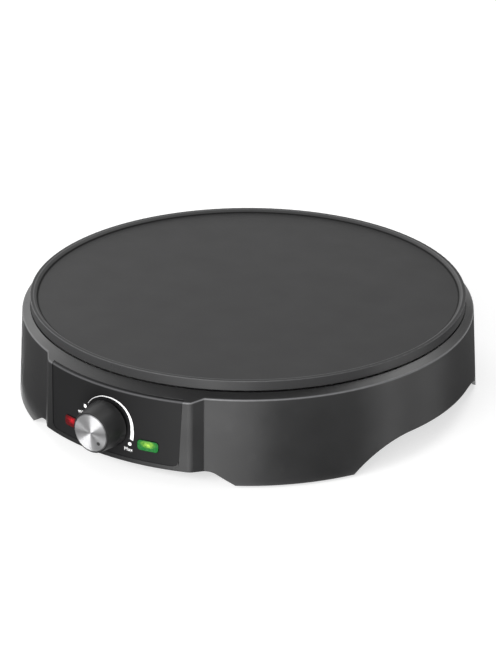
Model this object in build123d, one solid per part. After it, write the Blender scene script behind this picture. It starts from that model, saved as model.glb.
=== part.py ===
from build123d import *
import math
import os

# Electric crepe maker, in millimetres, +Z up, standing on z = 0, control block facing -Y.
# Everything is modelled about the hot plate's axis; place() then moves it so that the origin lies
# under the middle of the whole depth, from the knob's front to the cord gland's back.

# ---------------------------------------------------------------- hot plate
plate_d = 300.0             # over the rim
plate_deck = 5.0            # thickness of the deck that cooks
plate_rim_height = 6.9      # rim's outer wall
plate_rim_flat = 2.6        # flat top of the rim
plate_rim_slope = 3.0       # plan width of the slope from the rim down to the deck
plate_rim_rise = 2.5        # rim above the cooking surface
plate_rim_foot = 4.0        # width of the rim's underside
plate_edge_fillet = 0.5
plate_gap = 0.8             # open line between the rim and the housing's ring
element_inset = 55.0        # element's centre line inside the plate's edge
element_d = 7.0
element_gap = 0.1           # element to its groove
groove_wall = 2.5           # ribs that hold the element
groove_depth = 5.8          # ribs below the deck
element_half_gap = 18.0     # degrees from the back to each end of the heated ring
element_bend_r = 10.0
cold_end_drop = 7.0         # straight end below the bend
groove_open = 27.0          # degrees from the back where the ribs stop
boss_r = 6.0                # plate bosses that take the support screws
boss_height = 4.3
stiffener_count = 12
stiffener_width = 2.6
stiffener_height = 2.5
stiffener_gap = 0.9         # ribs start this far outside the element's groove
stiffener_inset = 8.0       # and end this far inside the plate's edge

# ---------------------------------------------------------------- housing
foot_gap = 1.9              # skirt above the surface it stands on
ring_z = 64.1               # inner top edge of the ring
ring_clear = 0.3            # ring's inner edge outside the plate's rim
cone_angle = 29.0           # fall of the ring's top, degrees
skirt_spread = 9.35         # skirt's lower edge outside the plate
draft = 3.5                 # degrees
wall = 2.5
top_edge_fillet = 0.9
shelf_drop = 3.6            # shelf under the plate's rim, below ring_z
shelf_t = 2.5
shelf_reach = 12.0          # shelf's inner edge inside the plate's edge
block_proud = 4.0           # control block outside the skirt
block_front_angle = 21.0    # half angle of the block's front
crease_angle = 24.0         # half angle where the block's ramps meet the skirt
block_corner_r = 8.0
crease_r = 1.5
panel_wall = 4.2
block_roof_drop = 7.6       # top of the block's hollow below ring_z
side_arch_height = 18.0
side_arch_run = 43.6        # plan length of the arch's curve down to the foot
front_arch_height = 9.1
front_arch_extra = 2.5      # front arch wider than the others, each side
front_arch_slope = 33.7     # degrees
front_arch_r = 10.0
foot_post_r = 16.0
foot_inset = 21.35          # foot posts' ring inside the skirt
foot_land = 1.28            # arch's end to the foot post
foot_angle = 45.0
foot_post_top = 24.0
pad_r = 12.0
pad_height = 5.0
pad_gap = 0.15
pad_edge = 1.2
support_gap = 4.9           # plate bosses outside the element's groove
support_post_r = 6.5
support_web = 3.0
cover_boss_r = 3.9
cover_boss_inset = 13.7     # screw bosses' ring inside the skirt
cover_boss_angles = (22.5, 90.0, 157.5, 202.5, 270.0, 337.5)
cover_boss_web = 1.8

# ---------------------------------------------------------------- base cover
cover_z = 19.0
cover_t = 1.6
cover_gap = 0.4
vent_width = 3.0
bead_gap = 12.5             # pressed bead inside the plate supports
vent_gap = 9.5              # outer row of vents inside the bead
outer_vent_length = 28.0
outer_vent_count = 20
vent_land = 10.0            # between the two rows
inner_vent_length = 20.0
inner_vent_count = 12
bead_width = 8.0
bead_height = 2.0

# ---------------------------------------------------------------- heat shield
shield_t = 0.8
shield_floor_inset = 18.0   # dish's floor, wall and flange inside the plate's edge
shield_wall_inset = 14.0
shield_flange_inset = 4.0
spacer_height = 7.0
spacer_r = 4.5
lead_hole_r = 5.5
lead_hole_lip = 1.0

# ---------------------------------------------------------------- screws
m4_r = 2.0
m4_clear_r = 2.2
m4_thread_gap = 0.05        # shank to its tapped hole
m4_head_r = 3.8
m4_head_h = 2.6
m4_grip = 6.2               # plate post left between the head's seat and the shield
m4_in_plate = 6.3
small_r = 1.6               # base cover screws
small_head_r = 3.2
small_head_h = 2.1
small_length = 12.0
recess_depth = 1.2

# ---------------------------------------------------------------- fascia and lamps
fascia_side = 6.8           # block's corner to the fascia's side
fascia_bottom_z = 12.0
fascia_taper = 1.5          # wider at the ring than at its lower corners, each side
fascia_t = 2.0
fascia_sink = 0.4           # fascia's face inside the block's
fascia_back_gap = 0.1
fascia_gap = 0.3
fascia_corner_r = 4.0
spindle_hole_r = 6.0
peg_r = 1.5
peg_gap = 0.1
peg_length = 3.0
peg_inset = 8.6             # pegs inside the fascia's sides
peg_z = 50.0
lens_angle = 10.8           # degrees each side of the knob
lens_z = 25.0
lens_width = 15.2
lens_height = 7.4
lens_corner_r = 2.4
lens_gap = 0.15
lens_proud = 0.5
lens_flange = 2.0           # ears beyond the lens, each side
lens_flange_t = 1.2
lens_seat = 0.5             # ears behind the panel's inner wall
holder_width = 24.0
holder_height = 9.4
holder_depth = 15.0
neon_r = 2.6
neon_gap = 0.1
neon_length = 12.0

# ---------------------------------------------------------------- knob
knob_z = 34.1
knob_gap = 1.3              # knob's back to the fascia, on the knob's axis
knob_base_r = 16.2
knob_front_r = 13.9
knob_reach = 18.2           # cap's face in front of the fascia
cap_r = 12.95
cap_gap = 0.05
cap_t = 1.4
cap_stand = 0.5             # cap's face in front of the knob's rim
cap_bevel = 0.35
dot_r = 1.3                 # index mark
dot_ring_r = 8.5
dot_clock = 134.0           # degrees clockwise from the top
dot_depth = 0.4
knob_wall = 1.8
knob_hub_r = 5.4
knob_hub_gap = 1.2
shaft_r = 3.0
shaft_flat = 2.2            # shaft centre to its flat
shaft_gap = 0.05
shaft_in_knob = 12.5
spring_t = 0.4
spring_width = 4.0

# ---------------------------------------------------------------- thermostat
bracket_setback = 13.0      # bracket's rear face inside the heat shield's floor
bracket_t = 1.2
bracket_left = 12.0
bracket_right = 22.0
bracket_below = 8.0
bracket_foot = 17.5
bracket_screw_back = 11.0
bracket_screw_x = (-4.0, 14.0)
bracket_boss_r = 5.0
bush_r = 5.0
bush_gap = 0.05
bush_front = 11.0
bush_flange_r = 6.5
bush_flange_t = 2.2
bush_counter_r = 4.1
bush_counter_depth = 5.0
nut_flats = 14.0
nut_t = 3.0
end_plate_t = 1.2
collar_r = 4.0
collar_t = 1.8
collar_setback = 3.0
pin_r = 2.0
pin_flat = 3.0
pin_length = 13.3
pin_screwed = 7.0
run_gap = 0.05
stack_x = 16.0
stack_r = 5.0
rivet_r = 1.5
rivet_gap = 0.1
rivet_head_r = 3.0
rivet_head_t = 1.4
blade_t = 0.3
blade_half = 3.0
blade_tip = 9.0
blade_hole_r = 2.6
blade_pin_gap = 0.3
blade_pitch = 2.6
blade_hinge = 11.0          # where the moving blade flexes, from the spindle's axis
hinge_slit = 0.2
contact_x = 6.5
contact_r = 1.8
contact_gap = 0.1
tab_end = 22.0
tab_half = 2.0
tab_offset = 2.5
bimetal_t = 0.8
bimetal_half = 4.0
bimetal_tip = 10.0
bimetal_stand = 6.9
rod_r = 1.2
rod_gap = 0.2
last_insulator = 2.0

# ---------------------------------------------------------------- wiring
lead_r = 1.2
lead_gap = 0.1
crimp_r = 1.9
crimp_length = 7.0
seal_r = 3.3
seal_height = 3.0
tab_pin_r = 1.1
tab_pin_length = 6.0
spade_width = 6.3
spade_t = 0.8
spade_length = 8.0
flag_gap = 0.1
flag_wall = 1.0
fuse_x = 30.0
fuse_y = -10.0
fuse_r = 2.5
fuse_length = 18.0
clip_t = 0.8
clip_width = 8.0
clip_tail = 10.0
block_inset = 39.35         # terminal block's middle inside the skirt
block_width = 38.0
block_depth = 16.0
block_height = 13.0
pole_pitch = 12.0
pole_r = 2.8
pole_bore_r = 1.5
pole_z = 6.4
pole_screw_r = 1.3
pole_screw_spread = 4.0
earth_y = 40.0
earth_tag_r = 4.0
earth_tag_t = 0.8

# ---------------------------------------------------------------- cord gland
gland_z = 30.0
gland_bore_r = 3.6
gland_neck_r = 6.4
gland_neck_gap = 0.1
gland_flange_r = 9.0
gland_flange_t = 2.5
gland_inner_r = 8.2
gland_tail_r = 6.0
gland_tail = 4.5
gland_seat = 0.65

# ---------------------------------------------------------------- worked out
tan_draft = math.tan(math.radians(draft))
tan_cone = math.tan(math.radians(cone_angle))
plate_r = plate_d / 2
element_ring_r = plate_r - element_inset
groove_out_r = element_ring_r + element_d / 2 + element_gap + groove_wall
support_ring_r = groove_out_r + boss_r + support_gap
stiffener_in_r = groove_out_r + stiffener_gap
stiffener_out_r = plate_r - stiffener_inset
skirt_base_r = plate_r + skirt_spread
shelf_in_r = plate_r - shelf_reach
foot_ring_r = skirt_base_r - foot_inset
side_arch_half_foot = foot_ring_r * math.sin(math.radians(foot_angle)) - foot_post_r - foot_land
side_arch_half_flat = side_arch_half_foot - side_arch_run
front_arch_half_foot = side_arch_half_foot + front_arch_extra
cover_boss_ring_r = skirt_base_r - cover_boss_inset
bead_r = support_ring_r - bead_gap
outer_vent_r = bead_r - vent_gap
inner_vent_r = outer_vent_r - outer_vent_length - vent_land
shield_floor_r = plate_r - shield_floor_inset
shield_wall_r = plate_r - shield_wall_inset
shield_flange_r = plate_r - shield_flange_inset
bracket_rear_y = shield_floor_r - bracket_setback
block_y = skirt_base_r - block_inset
block_front_y = block_y - block_depth / 2
rim_bottom_z = ring_z + plate_gap
rim_top_z = rim_bottom_z + plate_rim_height
deck_top_z = rim_top_z - plate_rim_rise
deck_under_z = deck_top_z - plate_deck
boss_z = deck_under_z - boss_height
element_z = deck_under_z - element_d / 2 - element_gap
ring_r = plate_r + ring_clear
shelf_top_z = ring_z - shelf_drop
shelf_under_z = shelf_top_z - shelf_t
cover_top_z = cover_z + cover_t
shield_top_z = boss_z - spacer_height
post_top_z = shield_top_z - shield_t
wiring_z = (cover_top_z + post_top_z) / 2
side_arch_z = foot_gap + side_arch_height
front_arch_z = foot_gap + front_arch_height
block_roof_z = ring_z - block_roof_drop


def skirt_r(z):
    """Outside radius of the skirt at a height, with its draft."""
    return skirt_base_r - (z - foot_gap) * tan_draft


panel_r = skirt_r(knob_z) + block_proud - fascia_sink
fascia_half_width = panel_r * math.sin(math.radians(block_front_angle)) - fascia_side
peg_x = fascia_half_width - peg_inset
knob_face_y = -panel_r
front_reach = panel_r + knob_reach
gland_face_r = skirt_r(gland_z) + gland_seat + gland_flange_t
plate_axis_y = (front_reach - gland_face_r) / 2

BEHIND = 1.0                # how far cutting tools run past what they cut
INSIDE = 0.5                # how far joined forms run into each other


def place(shape):
    """Moves a shape's solids from the plate's axis to the part's own frame."""
    solids = [Pos(0, plate_axis_y, 0) * solid for solid in shape.solids()]
    return solids[0] if len(solids) == 1 else Compound(children=solids)


def lathe(points, axis=Axis.Z):
    """A turned form from (radius, height) points."""
    return revolve(make_face(Polyline(*[(r, 0, z) for r, z in points], close=True)), axis)


def disc(radius, low, high):
    """An upright round from one height to another."""
    return Pos(0, 0, low) * Cylinder(radius, high - low, align=(Align.CENTER, Align.CENTER, Align.MIN))


def slab(x0, x1, y0, y1, z0, z1):
    """A box between two corners."""
    return Pos(x0, y0, z0) * Box(x1 - x0, y1 - y0, z1 - z0, align=(Align.MIN,) * 3)


def at_angle(degrees, radius, shape):
    """Puts a shape on a ring round the plate's axis, degrees counted from the front."""
    return Rot(0, 0, degrees) * (Pos(0, -radius, 0) * shape)


def group(solids):
    """Separate solids that share a node."""
    return Compound(children=[s for part in solids for s in part.solids()])


def front_frame(z=knob_z, angle=0.0, radius=panel_r):
    """A frame on the control panel: local z points out of the panel and local y points up."""
    face = Plane(origin=(0, -radius, z), x_dir=(1, 0, 0), z_dir=(0, -1, 0))
    return Rot(0, 0, angle) * face.location


def inward_frame():
    """A frame on the bracket's rear face: local x as the part's, local y up, local z to the back."""
    face = Plane(origin=(0, -bracket_rear_y, knob_z), x_dir=(-1, 0, 0), z_dir=(0, 1, 0))
    return face.location * Rot(0, 0, 0)


# ---------------------------------------------------------------- housing forms
def drafted_disc(offset, low, high):
    """The skirt's drafted form, offset outwards, cut flat at two heights."""
    return lathe([(0, low), (skirt_r(low) + offset, low), (skirt_r(high) + offset, high), (0, high)])


def on_ring(radius, degrees):
    """A plan point at an angle from the front."""
    a = math.radians(degrees)
    return Vector(radius * math.sin(a), -radius * math.cos(a), 0)


def block_plan(inset, z):
    """Wedge between the control block's side ramps at a height, moved inwards by an inset."""
    crease = on_ring(skirt_r(z), crease_angle)
    corner = on_ring(skirt_r(z) + block_proud, block_front_angle)
    along = (corner - crease).normalized()
    shift = Vector(-abs(along.Y), along.X, 0) * inset
    outer = corner + along * 4 * block_proud + shift
    inner = crease - along * block_proud + shift
    right = [(inner.X, inner.Y), (outer.X, outer.Y)]
    left = [(-x, y) for x, y in reversed(right)]
    return Pos(0, 0, z) * make_face(Polyline((0, 0), *right, *left, close=True))


def block_prism(inset, low, high):
    """The control block's wedge between two heights."""
    return loft([block_plan(inset, low), block_plan(inset, high)], ruled=True)


def corners_near(face, radius, degrees):
    """A plan outline's corners near a point and its mirror image."""
    target = on_ring(radius, degrees)
    return [v for v in face.vertices() if (Vector(abs(v.X), v.Y, 0) - target).length < 1]


def outline(z):
    """The moulding's outline at a height: skirt and control block, joined by rounded ramps."""
    radius = skirt_r(z)
    block = Circle(radius + block_proud) & (Pos(0, 0, -z) * block_plan(0, z))
    face = Circle(radius) + block
    face = fillet(corners_near(face, radius + block_proud, block_front_angle), block_corner_r)
    face = fillet(corners_near(face, radius, crease_angle), crease_r)
    return Pos(0, 0, z) * face


def outer_form():
    """The moulding's outside as one solid: skirt, ring and control block, with the top edge rounded."""
    body = loft([outline(foot_gap), outline(ring_z)], ruled=True)
    reach = ring_r + 4 * block_proud
    body = body & lathe([(0, 0), (reach, 0), (reach, ring_z - (reach - ring_r) * tan_cone), (ring_r, ring_z),
                         (0, ring_z)])
    top = []
    for edge in body.edges():
        middle = edge.position_at(0.5)
        rise = abs(edge.position_at(0).Z - edge.position_at(1).Z)
        edge_r = ring_r + 0.7 * (skirt_r(ring_z) - ring_r)
        if math.hypot(middle.X, middle.Y) > edge_r and middle.Z > ring_z / 2 and rise < block_proud:
            top.append(edge)
    return fillet(top, top_edge_fillet)


def side_arch():
    """Cutting prism for the arches between the feet at the sides and the back."""
    run = side_arch_half_foot - side_arch_half_flat
    radius = (run ** 2 + side_arch_height ** 2) / (2 * side_arch_height)
    top, foot = side_arch_z, foot_gap
    a, b = side_arch_half_flat, side_arch_half_foot
    edges = [
        Line((-a, top), (a, top)),
        RadiusArc((a, top), (b, foot), radius),
        Line((b, foot), (b, foot - BEHIND)),
        Line((b, foot - BEHIND), (-b, foot - BEHIND)),
        Line((-b, foot - BEHIND), (-b, foot)),
        RadiusArc((-b, foot), (-a, top), radius),
    ]
    profile = make_face(edges)
    return extrude(Plane.YZ * profile, skirt_base_r + BEHIND)


def front_arch():
    """Cutting prism for the low arch under the control block."""
    run = front_arch_height / math.tan(math.radians(front_arch_slope))
    shoulder = front_arch_half_foot - run
    half, top, foot = front_arch_half_foot, front_arch_z, foot_gap
    line = Polyline(
        (-half, foot - BEHIND), (-half, foot), (-shoulder, top), (shoulder, top), (half, foot),
        (half, foot - BEHIND), close=True,
    )
    profile = make_face(line)
    shoulders = [v for v in profile.vertices() if abs(v.Y - top) < 0.01]
    profile = fillet(shoulders, front_arch_r)
    reach = skirt_base_r + block_proud + BEHIND
    return extrude(Plane.XZ * profile, reach)


def arch_cuts(shape):
    """Cuts the arches under the skirt."""
    for turn in (0, 90, 180):
        shape = shape - Rot(0, 0, turn) * side_arch()
    return shape - front_arch()


def fascia_window(gap):
    """Prism of the fascia's outline, grown by a gap; it widens upwards and its top stands open."""
    low_half = fascia_half_width + gap
    high_half = low_half + fascia_taper
    bottom = fascia_bottom_z - gap
    top = ring_z + BEHIND
    profile = make_face(Polyline(
        (-low_half, bottom), (low_half, bottom), (high_half, top), (-high_half, top), close=True))
    corners = [v for v in profile.vertices() if v.Y < fascia_bottom_z + 1]
    profile = fillet(corners, fascia_corner_r + gap)
    return extrude(Plane.XZ * profile, skirt_base_r + block_proud + BEHIND)


def rounded_bar(width, height, radius, low, high):
    """A bar along local z with rounded corners."""
    return Pos(0, 0, low) * extrude(RectangleRounded(width, height, radius), high - low)


def lens_frame(side):
    """Frame on the panel at one lens."""
    return front_frame(lens_z, side * lens_angle, skirt_r(lens_z) + block_proud - fascia_sink)


def lens_opening(gap):
    """What a lens needs through the panel."""
    bar = rounded_bar(lens_width + 2 * gap, lens_height + 2 * gap, lens_corner_r + gap, -2 * panel_wall, BEHIND)
    return lens_frame(-1) * bar + lens_frame(1) * bar


def peg_positions():
    """Plan angles of the fascia's four locating pegs, with their heights."""
    angle = math.degrees(math.asin(peg_x / panel_r))
    low = fascia_bottom_z + peg_x / 8
    return [(angle, peg_z), (-angle, peg_z), (angle, low), (-angle, low)]


def pegs(radius, length):
    """Pegs behind the fascia."""
    parts = []
    for angle, z in peg_positions():
        frame = front_frame(z, angle, skirt_r(z) + block_proud - fascia_t)
        parts.append(frame * (Pos(0, 0, -length) * Cylinder(radius, length + INSIDE, align=(
            Align.CENTER, Align.CENTER, Align.MIN))))
    return parts


# ---------------------------------------------------------------- housing
def corner_post():
    """Foot post, plate support post and the web that ties them to the skirt."""
    web_out = skirt_r(foot_post_top) - wall / 2
    web_low = cover_top_z + BEHIND
    post = Pos(0, -foot_ring_r, 0) * disc(foot_post_r, foot_gap, foot_post_top)
    support = Pos(0, -support_ring_r, 0) * disc(support_post_r, web_low, post_top_z)
    web = slab(-support_web / 2, support_web / 2, -web_out, -support_ring_r, web_low, post_top_z - 3)
    rest = Pos(0, -foot_ring_r, 0) * disc(pad_r + pad_gap, foot_gap - BEHIND, pad_height)
    seat_z = post_top_z - m4_grip
    bore = Pos(0, -support_ring_r, 0) * disc(m4_clear_r, web_low - BEHIND, post_top_z + BEHIND)
    counter = Pos(0, -support_ring_r, 0) * disc(m4_head_r + 0.4, web_low - BEHIND, seat_z)
    return post + support + web - rest - bore - counter


def cover_boss():
    """Boss for one base cover screw, hung from the shelf and tied to the skirt."""
    boss = Pos(0, -cover_boss_ring_r, 0) * disc(cover_boss_r, cover_top_z, shelf_under_z + INSIDE)
    web_out = skirt_r(shelf_under_z) - wall / 2
    web = slab(-cover_boss_web / 2, cover_boss_web / 2, -web_out, -cover_boss_ring_r,
               cover_top_z + 6, shelf_under_z + INSIDE)
    pilot = Pos(0, -cover_boss_ring_r, 0) * disc(
        small_r + m4_thread_gap, cover_top_z - BEHIND, cover_top_z + small_length)
    return boss + web - pilot


def housing(form):
    """One moulding: ring, skirt, control block, feet and inner bosses."""
    cavity = drafted_disc(-wall, foot_gap - BEHIND, shelf_under_z)
    block_cavity = drafted_disc(block_proud - panel_wall, foot_gap - BEHIND, block_roof_z)
    block_cavity = block_cavity & block_prism(wall, foot_gap - BEHIND, block_roof_z)
    body = form - cavity - block_cavity
    body = body - disc(ring_r, shelf_top_z, ring_z + BEHIND) - disc(shelf_in_r, shelf_under_z - BEHIND, ring_z)
    outside = drafted_disc(-wall / 2, foot_gap, shelf_under_z + INSIDE)
    for k in range(4):
        body = body + (Rot(0, 0, foot_angle + 90 * k) * corner_post() & outside)
    for angle in cover_boss_angles:
        body = body + (Rot(0, 0, angle) * cover_boss() & outside)
    body = arch_cuts(body)
    pocket = fascia_window(fascia_gap) - drafted_disc(
        block_proud - fascia_t - fascia_back_gap, 0, ring_z + 2 * BEHIND)
    body = body - pocket - lens_opening(lens_gap)
    body = body - front_frame() * Cylinder(spindle_hole_r, 3 * panel_wall)
    for peg in pegs(peg_r + peg_gap, panel_wall + BEHIND):
        body = body - peg
    back = Plane(origin=(0, skirt_r(gland_z), gland_z), x_dir=(-1, 0, 0), z_dir=(0, 1, 0)).location
    return body - back * Cylinder(gland_neck_r + gland_neck_gap, 4 * wall)


def control_fascia(form):
    """Gloss insert that fills the pocket in the control block."""
    skin = Pos(0, fascia_sink, 0) * (form & fascia_window(0))
    skin = skin - drafted_disc(block_proud - fascia_t, 0, ring_z + BEHIND)
    for peg in pegs(peg_r, peg_length):
        skin = skin + peg
    skin = skin - lens_opening(lens_gap)
    return skin - front_frame() * Cylinder(spindle_hole_r, 3 * panel_wall)


# ---------------------------------------------------------------- base
def base_cover():
    """Vented cover that closes the housing above the arches."""
    cover = drafted_disc(-wall - cover_gap, cover_z, cover_top_z)
    front = drafted_disc(block_proud - panel_wall - cover_gap, cover_z, cover_top_z)
    cover = cover + (front & block_prism(wall + cover_gap, cover_z, cover_top_z))
    slope = bead_height / 2
    bead = lathe([
        (bead_r - bead_width / 2 - slope, cover_top_z), (bead_r - bead_width / 2, cover_top_z + bead_height),
        (bead_r + bead_width / 2, cover_top_z + bead_height), (bead_r + bead_width / 2 + slope, cover_top_z),
    ])
    under = lathe([
        (bead_r - bead_width / 2 - slope, cover_z), (bead_r - bead_width / 2, cover_z + bead_height),
        (bead_r + bead_width / 2, cover_z + bead_height), (bead_r + bead_width / 2 + slope, cover_z),
    ])
    cover = cover + bead - under
    rows = ((outer_vent_r, outer_vent_length, outer_vent_count), (inner_vent_r, inner_vent_length, inner_vent_count))
    for outer, length, count in rows:
        slot = Rot(0, 0, 90) * SlotCenterToCenter(length, vent_width)
        tool = Pos(0, length / 2 - outer, cover_z - BEHIND) * extrude(slot, cover_t + 2 * BEHIND)
        for k in range(count):
            cover = cover - Rot(0, 0, 360 * k / count) * tool
    notch = disc(foot_post_r + cover_gap, cover_z - BEHIND, cover_top_z + BEHIND)
    half = foot_post_r * 0.55
    notch = notch + slab(-half, half, -2 * foot_post_r, 0, cover_z - BEHIND, cover_top_z + BEHIND)
    for k in range(4):
        cover = cover - at_angle(foot_angle + 90 * k, foot_ring_r, notch)
    hole = disc(small_r + cover_gap / 2, cover_z - BEHIND, cover_top_z + BEHIND)
    for angle in cover_boss_angles:
        cover = cover - at_angle(angle, cover_boss_ring_r, hole)
    return cover


def pan_screw(radius, length, head_r, head_h):
    """Pan-head screw with a cross recess, head down and its seat at z = 0."""
    head = lathe([(0, -head_h), (head_r * 0.7, -head_h), (head_r, -head_h * 0.45), (head_r, 0), (0, 0)])
    shank = lathe([(0, 0), (radius, 0), (radius, length - radius), (radius * 0.45, length), (0, length)])
    arm = slab(-head_r * 0.5, head_r * 0.5, -head_r * 0.11, head_r * 0.11, -head_h - BEHIND, recess_depth - head_h)
    return head + shank - arm - Rot(0, 0, 90) * arm


def base_screws():
    """Six screws that hold the base cover to the housing's bosses."""
    screw = Pos(0, 0, cover_z) * pan_screw(small_r, small_length, small_head_r, small_head_h)
    return group([at_angle(a, cover_boss_ring_r, screw) for a in cover_boss_angles])


def foot_pads():
    """Four rubber pads under the foot posts."""
    pad = lathe([(0, 0.6), (pad_r * 0.35, 0.6), (pad_r * 0.4, 0), (pad_r - pad_edge, 0), (pad_r, pad_edge),
                 (pad_r, pad_height), (0, pad_height)])
    return group([at_angle(foot_angle + 90 * k, foot_ring_r, pad) for k in range(4)])


# ---------------------------------------------------------------- hot plate
def bracket_screw_points():
    """Plan points of the two screws that hold the thermostat bracket."""
    return [(x, -bracket_rear_y + bracket_screw_back) for x in bracket_screw_x]


def fuse_screw_point():
    """Plan point of the screw that holds the fuse clip."""
    return fuse_x + clip_tail, fuse_y


def hot_plate():
    """Cast plate: sloping rim, flat deck, and ribs and bosses underneath."""
    rim_in = plate_r - plate_rim_flat
    foot_r = rim_in - plate_rim_slope
    outline = Polyline(
        (0, 0, deck_under_z), (plate_r - plate_rim_foot, 0, deck_under_z),
        (plate_r - plate_rim_foot, 0, rim_bottom_z), (plate_r, 0, rim_bottom_z), (plate_r, 0, rim_top_z),
        (rim_in, 0, rim_top_z), (foot_r, 0, deck_top_z), (0, 0, deck_top_z), close=True,
    )
    profile = make_face(outline)
    rims = [v for v in profile.vertices() if v.X > plate_r - 0.01 or (v.X > rim_in - 0.01 and v.Z > rim_top_z - 0.01)]
    profile = fillet(rims, plate_edge_fillet)
    hollow = [v for v in profile.vertices() if abs(v.X - foot_r) < 0.01 and abs(v.Z - deck_top_z) < 0.01]
    profile = fillet(hollow, plate_edge_fillet * 2)
    body = revolve(profile, Axis.Z)
    inner = element_ring_r - element_d / 2 - element_gap
    outer = element_ring_r + element_d / 2 + element_gap
    low = deck_under_z - groove_depth
    ribs = (disc(inner, low, deck_under_z + INSIDE) - disc(inner - groove_wall, low - BEHIND, deck_under_z + BEHIND))
    ribs = ribs + (disc(outer + groove_wall, low, deck_under_z + INSIDE) - disc(outer, low - BEHIND, deck_under_z + BEHIND))
    reach = 2 * element_ring_r
    across = reach * math.tan(math.radians(groove_open))
    mouth = make_face(Polyline((0, 0), (across, reach), (-across, reach), close=True))
    ribs = ribs - Pos(0, 0, low - BEHIND) * extrude(mouth, groove_depth + 3 * BEHIND)
    body = body + ribs
    rib = slab(-stiffener_width / 2, stiffener_width / 2, -stiffener_out_r, -stiffener_in_r,
               deck_under_z - stiffener_height, deck_under_z + INSIDE)
    for k in range(stiffener_count):
        body = body + Rot(0, 0, (k + 0.5) * 360 / stiffener_count) * rib
    boss = disc(boss_r, boss_z, deck_under_z + INSIDE)
    tap = disc(m4_r + m4_thread_gap, boss_z - BEHIND, boss_z + m4_in_plate + 0.4)
    for k in range(4):
        body = body + at_angle(foot_angle + 90 * k, support_ring_r, boss)
        body = body - at_angle(foot_angle + 90 * k, support_ring_r, tap)
    small_boss = disc(bracket_boss_r, boss_z, deck_under_z + INSIDE)
    for x, y in bracket_screw_points() + [fuse_screw_point()]:
        body = body + Pos(x, y, 0) * small_boss - Pos(x, y, 0) * tap
    return body


def plate_spacers():
    """Four ceramic sleeves between the heat shield and the plate's bosses."""
    sleeve = disc(spacer_r, shield_top_z, boss_z) - disc(m4_clear_r, shield_top_z - BEHIND, boss_z + BEHIND)
    return group([at_angle(foot_angle + 90 * k, support_ring_r, sleeve) for k in range(4)])


def plate_screws():
    """Four long screws that draw the plate onto the housing's posts."""
    seat = post_top_z - m4_grip
    screw = Pos(0, 0, seat) * pan_screw(m4_r, boss_z + m4_in_plate - seat, m4_head_r, m4_head_h)
    return group([at_angle(foot_angle + 90 * k, support_ring_r, screw) for k in range(4)])


def shield_holes():
    """Plan points where leads and element ends pass the heat shield."""
    ends = [(p.X, p.Y) for p in (cold_end_top(-1), cold_end_top(1))]
    return ends + [(fuse_lead_in()[0], fuse_lead_in()[1]), (fuse_lead_out()[0], fuse_lead_out()[1])]


def heat_shield():
    """Pressed dish between the plate and the wiring."""
    t = shield_t
    low, high = post_top_z, shelf_top_z
    dish = lathe([
        (0, low), (shield_floor_r, low), (shield_wall_r, high), (shield_flange_r, high), (shield_flange_r, high + t),
        (shield_wall_r - t, high + t), (shield_floor_r - t, low + t), (0, low + t),
    ])
    for k in range(4):
        dish = dish - at_angle(foot_angle + 90 * k, support_ring_r, disc(m4_clear_r, low - BEHIND, low + 2 * BEHIND))
    for x, y in shield_holes():
        dish = dish - Pos(x, y, 0) * disc(lead_hole_r, low - BEHIND, low + 2 * BEHIND)
        collar = disc(lead_hole_r + t, low, low + t + lead_hole_lip) - disc(lead_hole_r, low - BEHIND, low + 4 * BEHIND)
        dish = dish + Pos(x, y, 0) * collar
    slot = slab(-bracket_left - 2, bracket_right + 2, -bracket_rear_y - bracket_t - 1.8, -bracket_rear_y + 1.8,
                low - BEHIND, low + 2 * BEHIND)
    earth_hole = Pos(0, earth_y, 0) * disc(m4_r + m4_thread_gap, low - BEHIND, low + 2 * BEHIND)
    return dish - slot - earth_hole


# ---------------------------------------------------------------- heating element
def ring_point(radius, degrees_from_back, z):
    """A point on a ring, counted from the back towards +X."""
    a = math.radians(degrees_from_back)
    return Vector(radius * math.sin(a), radius * math.cos(a), z)


def cold_end_top(side):
    """Top of the straight cold end on one side."""
    start = ring_point(element_ring_r, side * element_half_gap, element_z)
    a = math.radians(element_half_gap)
    along = Vector(-side * math.cos(a), math.sin(a), 0)
    return start + along * element_bend_r + Vector(0, 0, -element_bend_r)


def cold_end_bottom(side):
    """Lower end of the sheath on one side."""
    return cold_end_top(side) - Vector(0, 0, cold_end_drop)


def heating_element():
    """Tubular element: an open ring under the plate with both ends bent down."""
    left = ring_point(element_ring_r, -element_half_gap, element_z)
    right = ring_point(element_ring_r, element_half_gap, element_z)
    front = ring_point(element_ring_r, 180, element_z)
    ring = ThreePointArc(right, front, left)
    a = math.radians(element_half_gap)
    drops = []
    for side, start in ((1, right), (-1, left)):
        along = Vector(-side * math.cos(a), math.sin(a), 0)
        centre = start - Vector(0, 0, element_bend_r)
        middle = centre + (along + Vector(0, 0, 1)) * (element_bend_r / math.sqrt(2))
        drops.append(ThreePointArc(start, middle, cold_end_top(side)))
        drops.append(Line(cold_end_top(side), cold_end_bottom(side)))
    path = Wire([ring.edge()] + [d.edge() for d in drops])
    first = path @ 0
    tangent = path % 0
    section = Plane(origin=first, z_dir=tangent) * Circle(element_d / 2)
    return sweep(section, path=path)


def element_seals():
    """Ceramic beads that close the sheath's ends."""
    seals = []
    for side in (-1, 1):
        end = cold_end_bottom(side)
        bead = disc(seal_r, -seal_height, 0) - disc(tab_pin_r + 0.05, -seal_height - BEHIND, BEHIND)
        seals.append(Pos(end.X, end.Y, end.Z) * bead)
    return group(seals)


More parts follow.
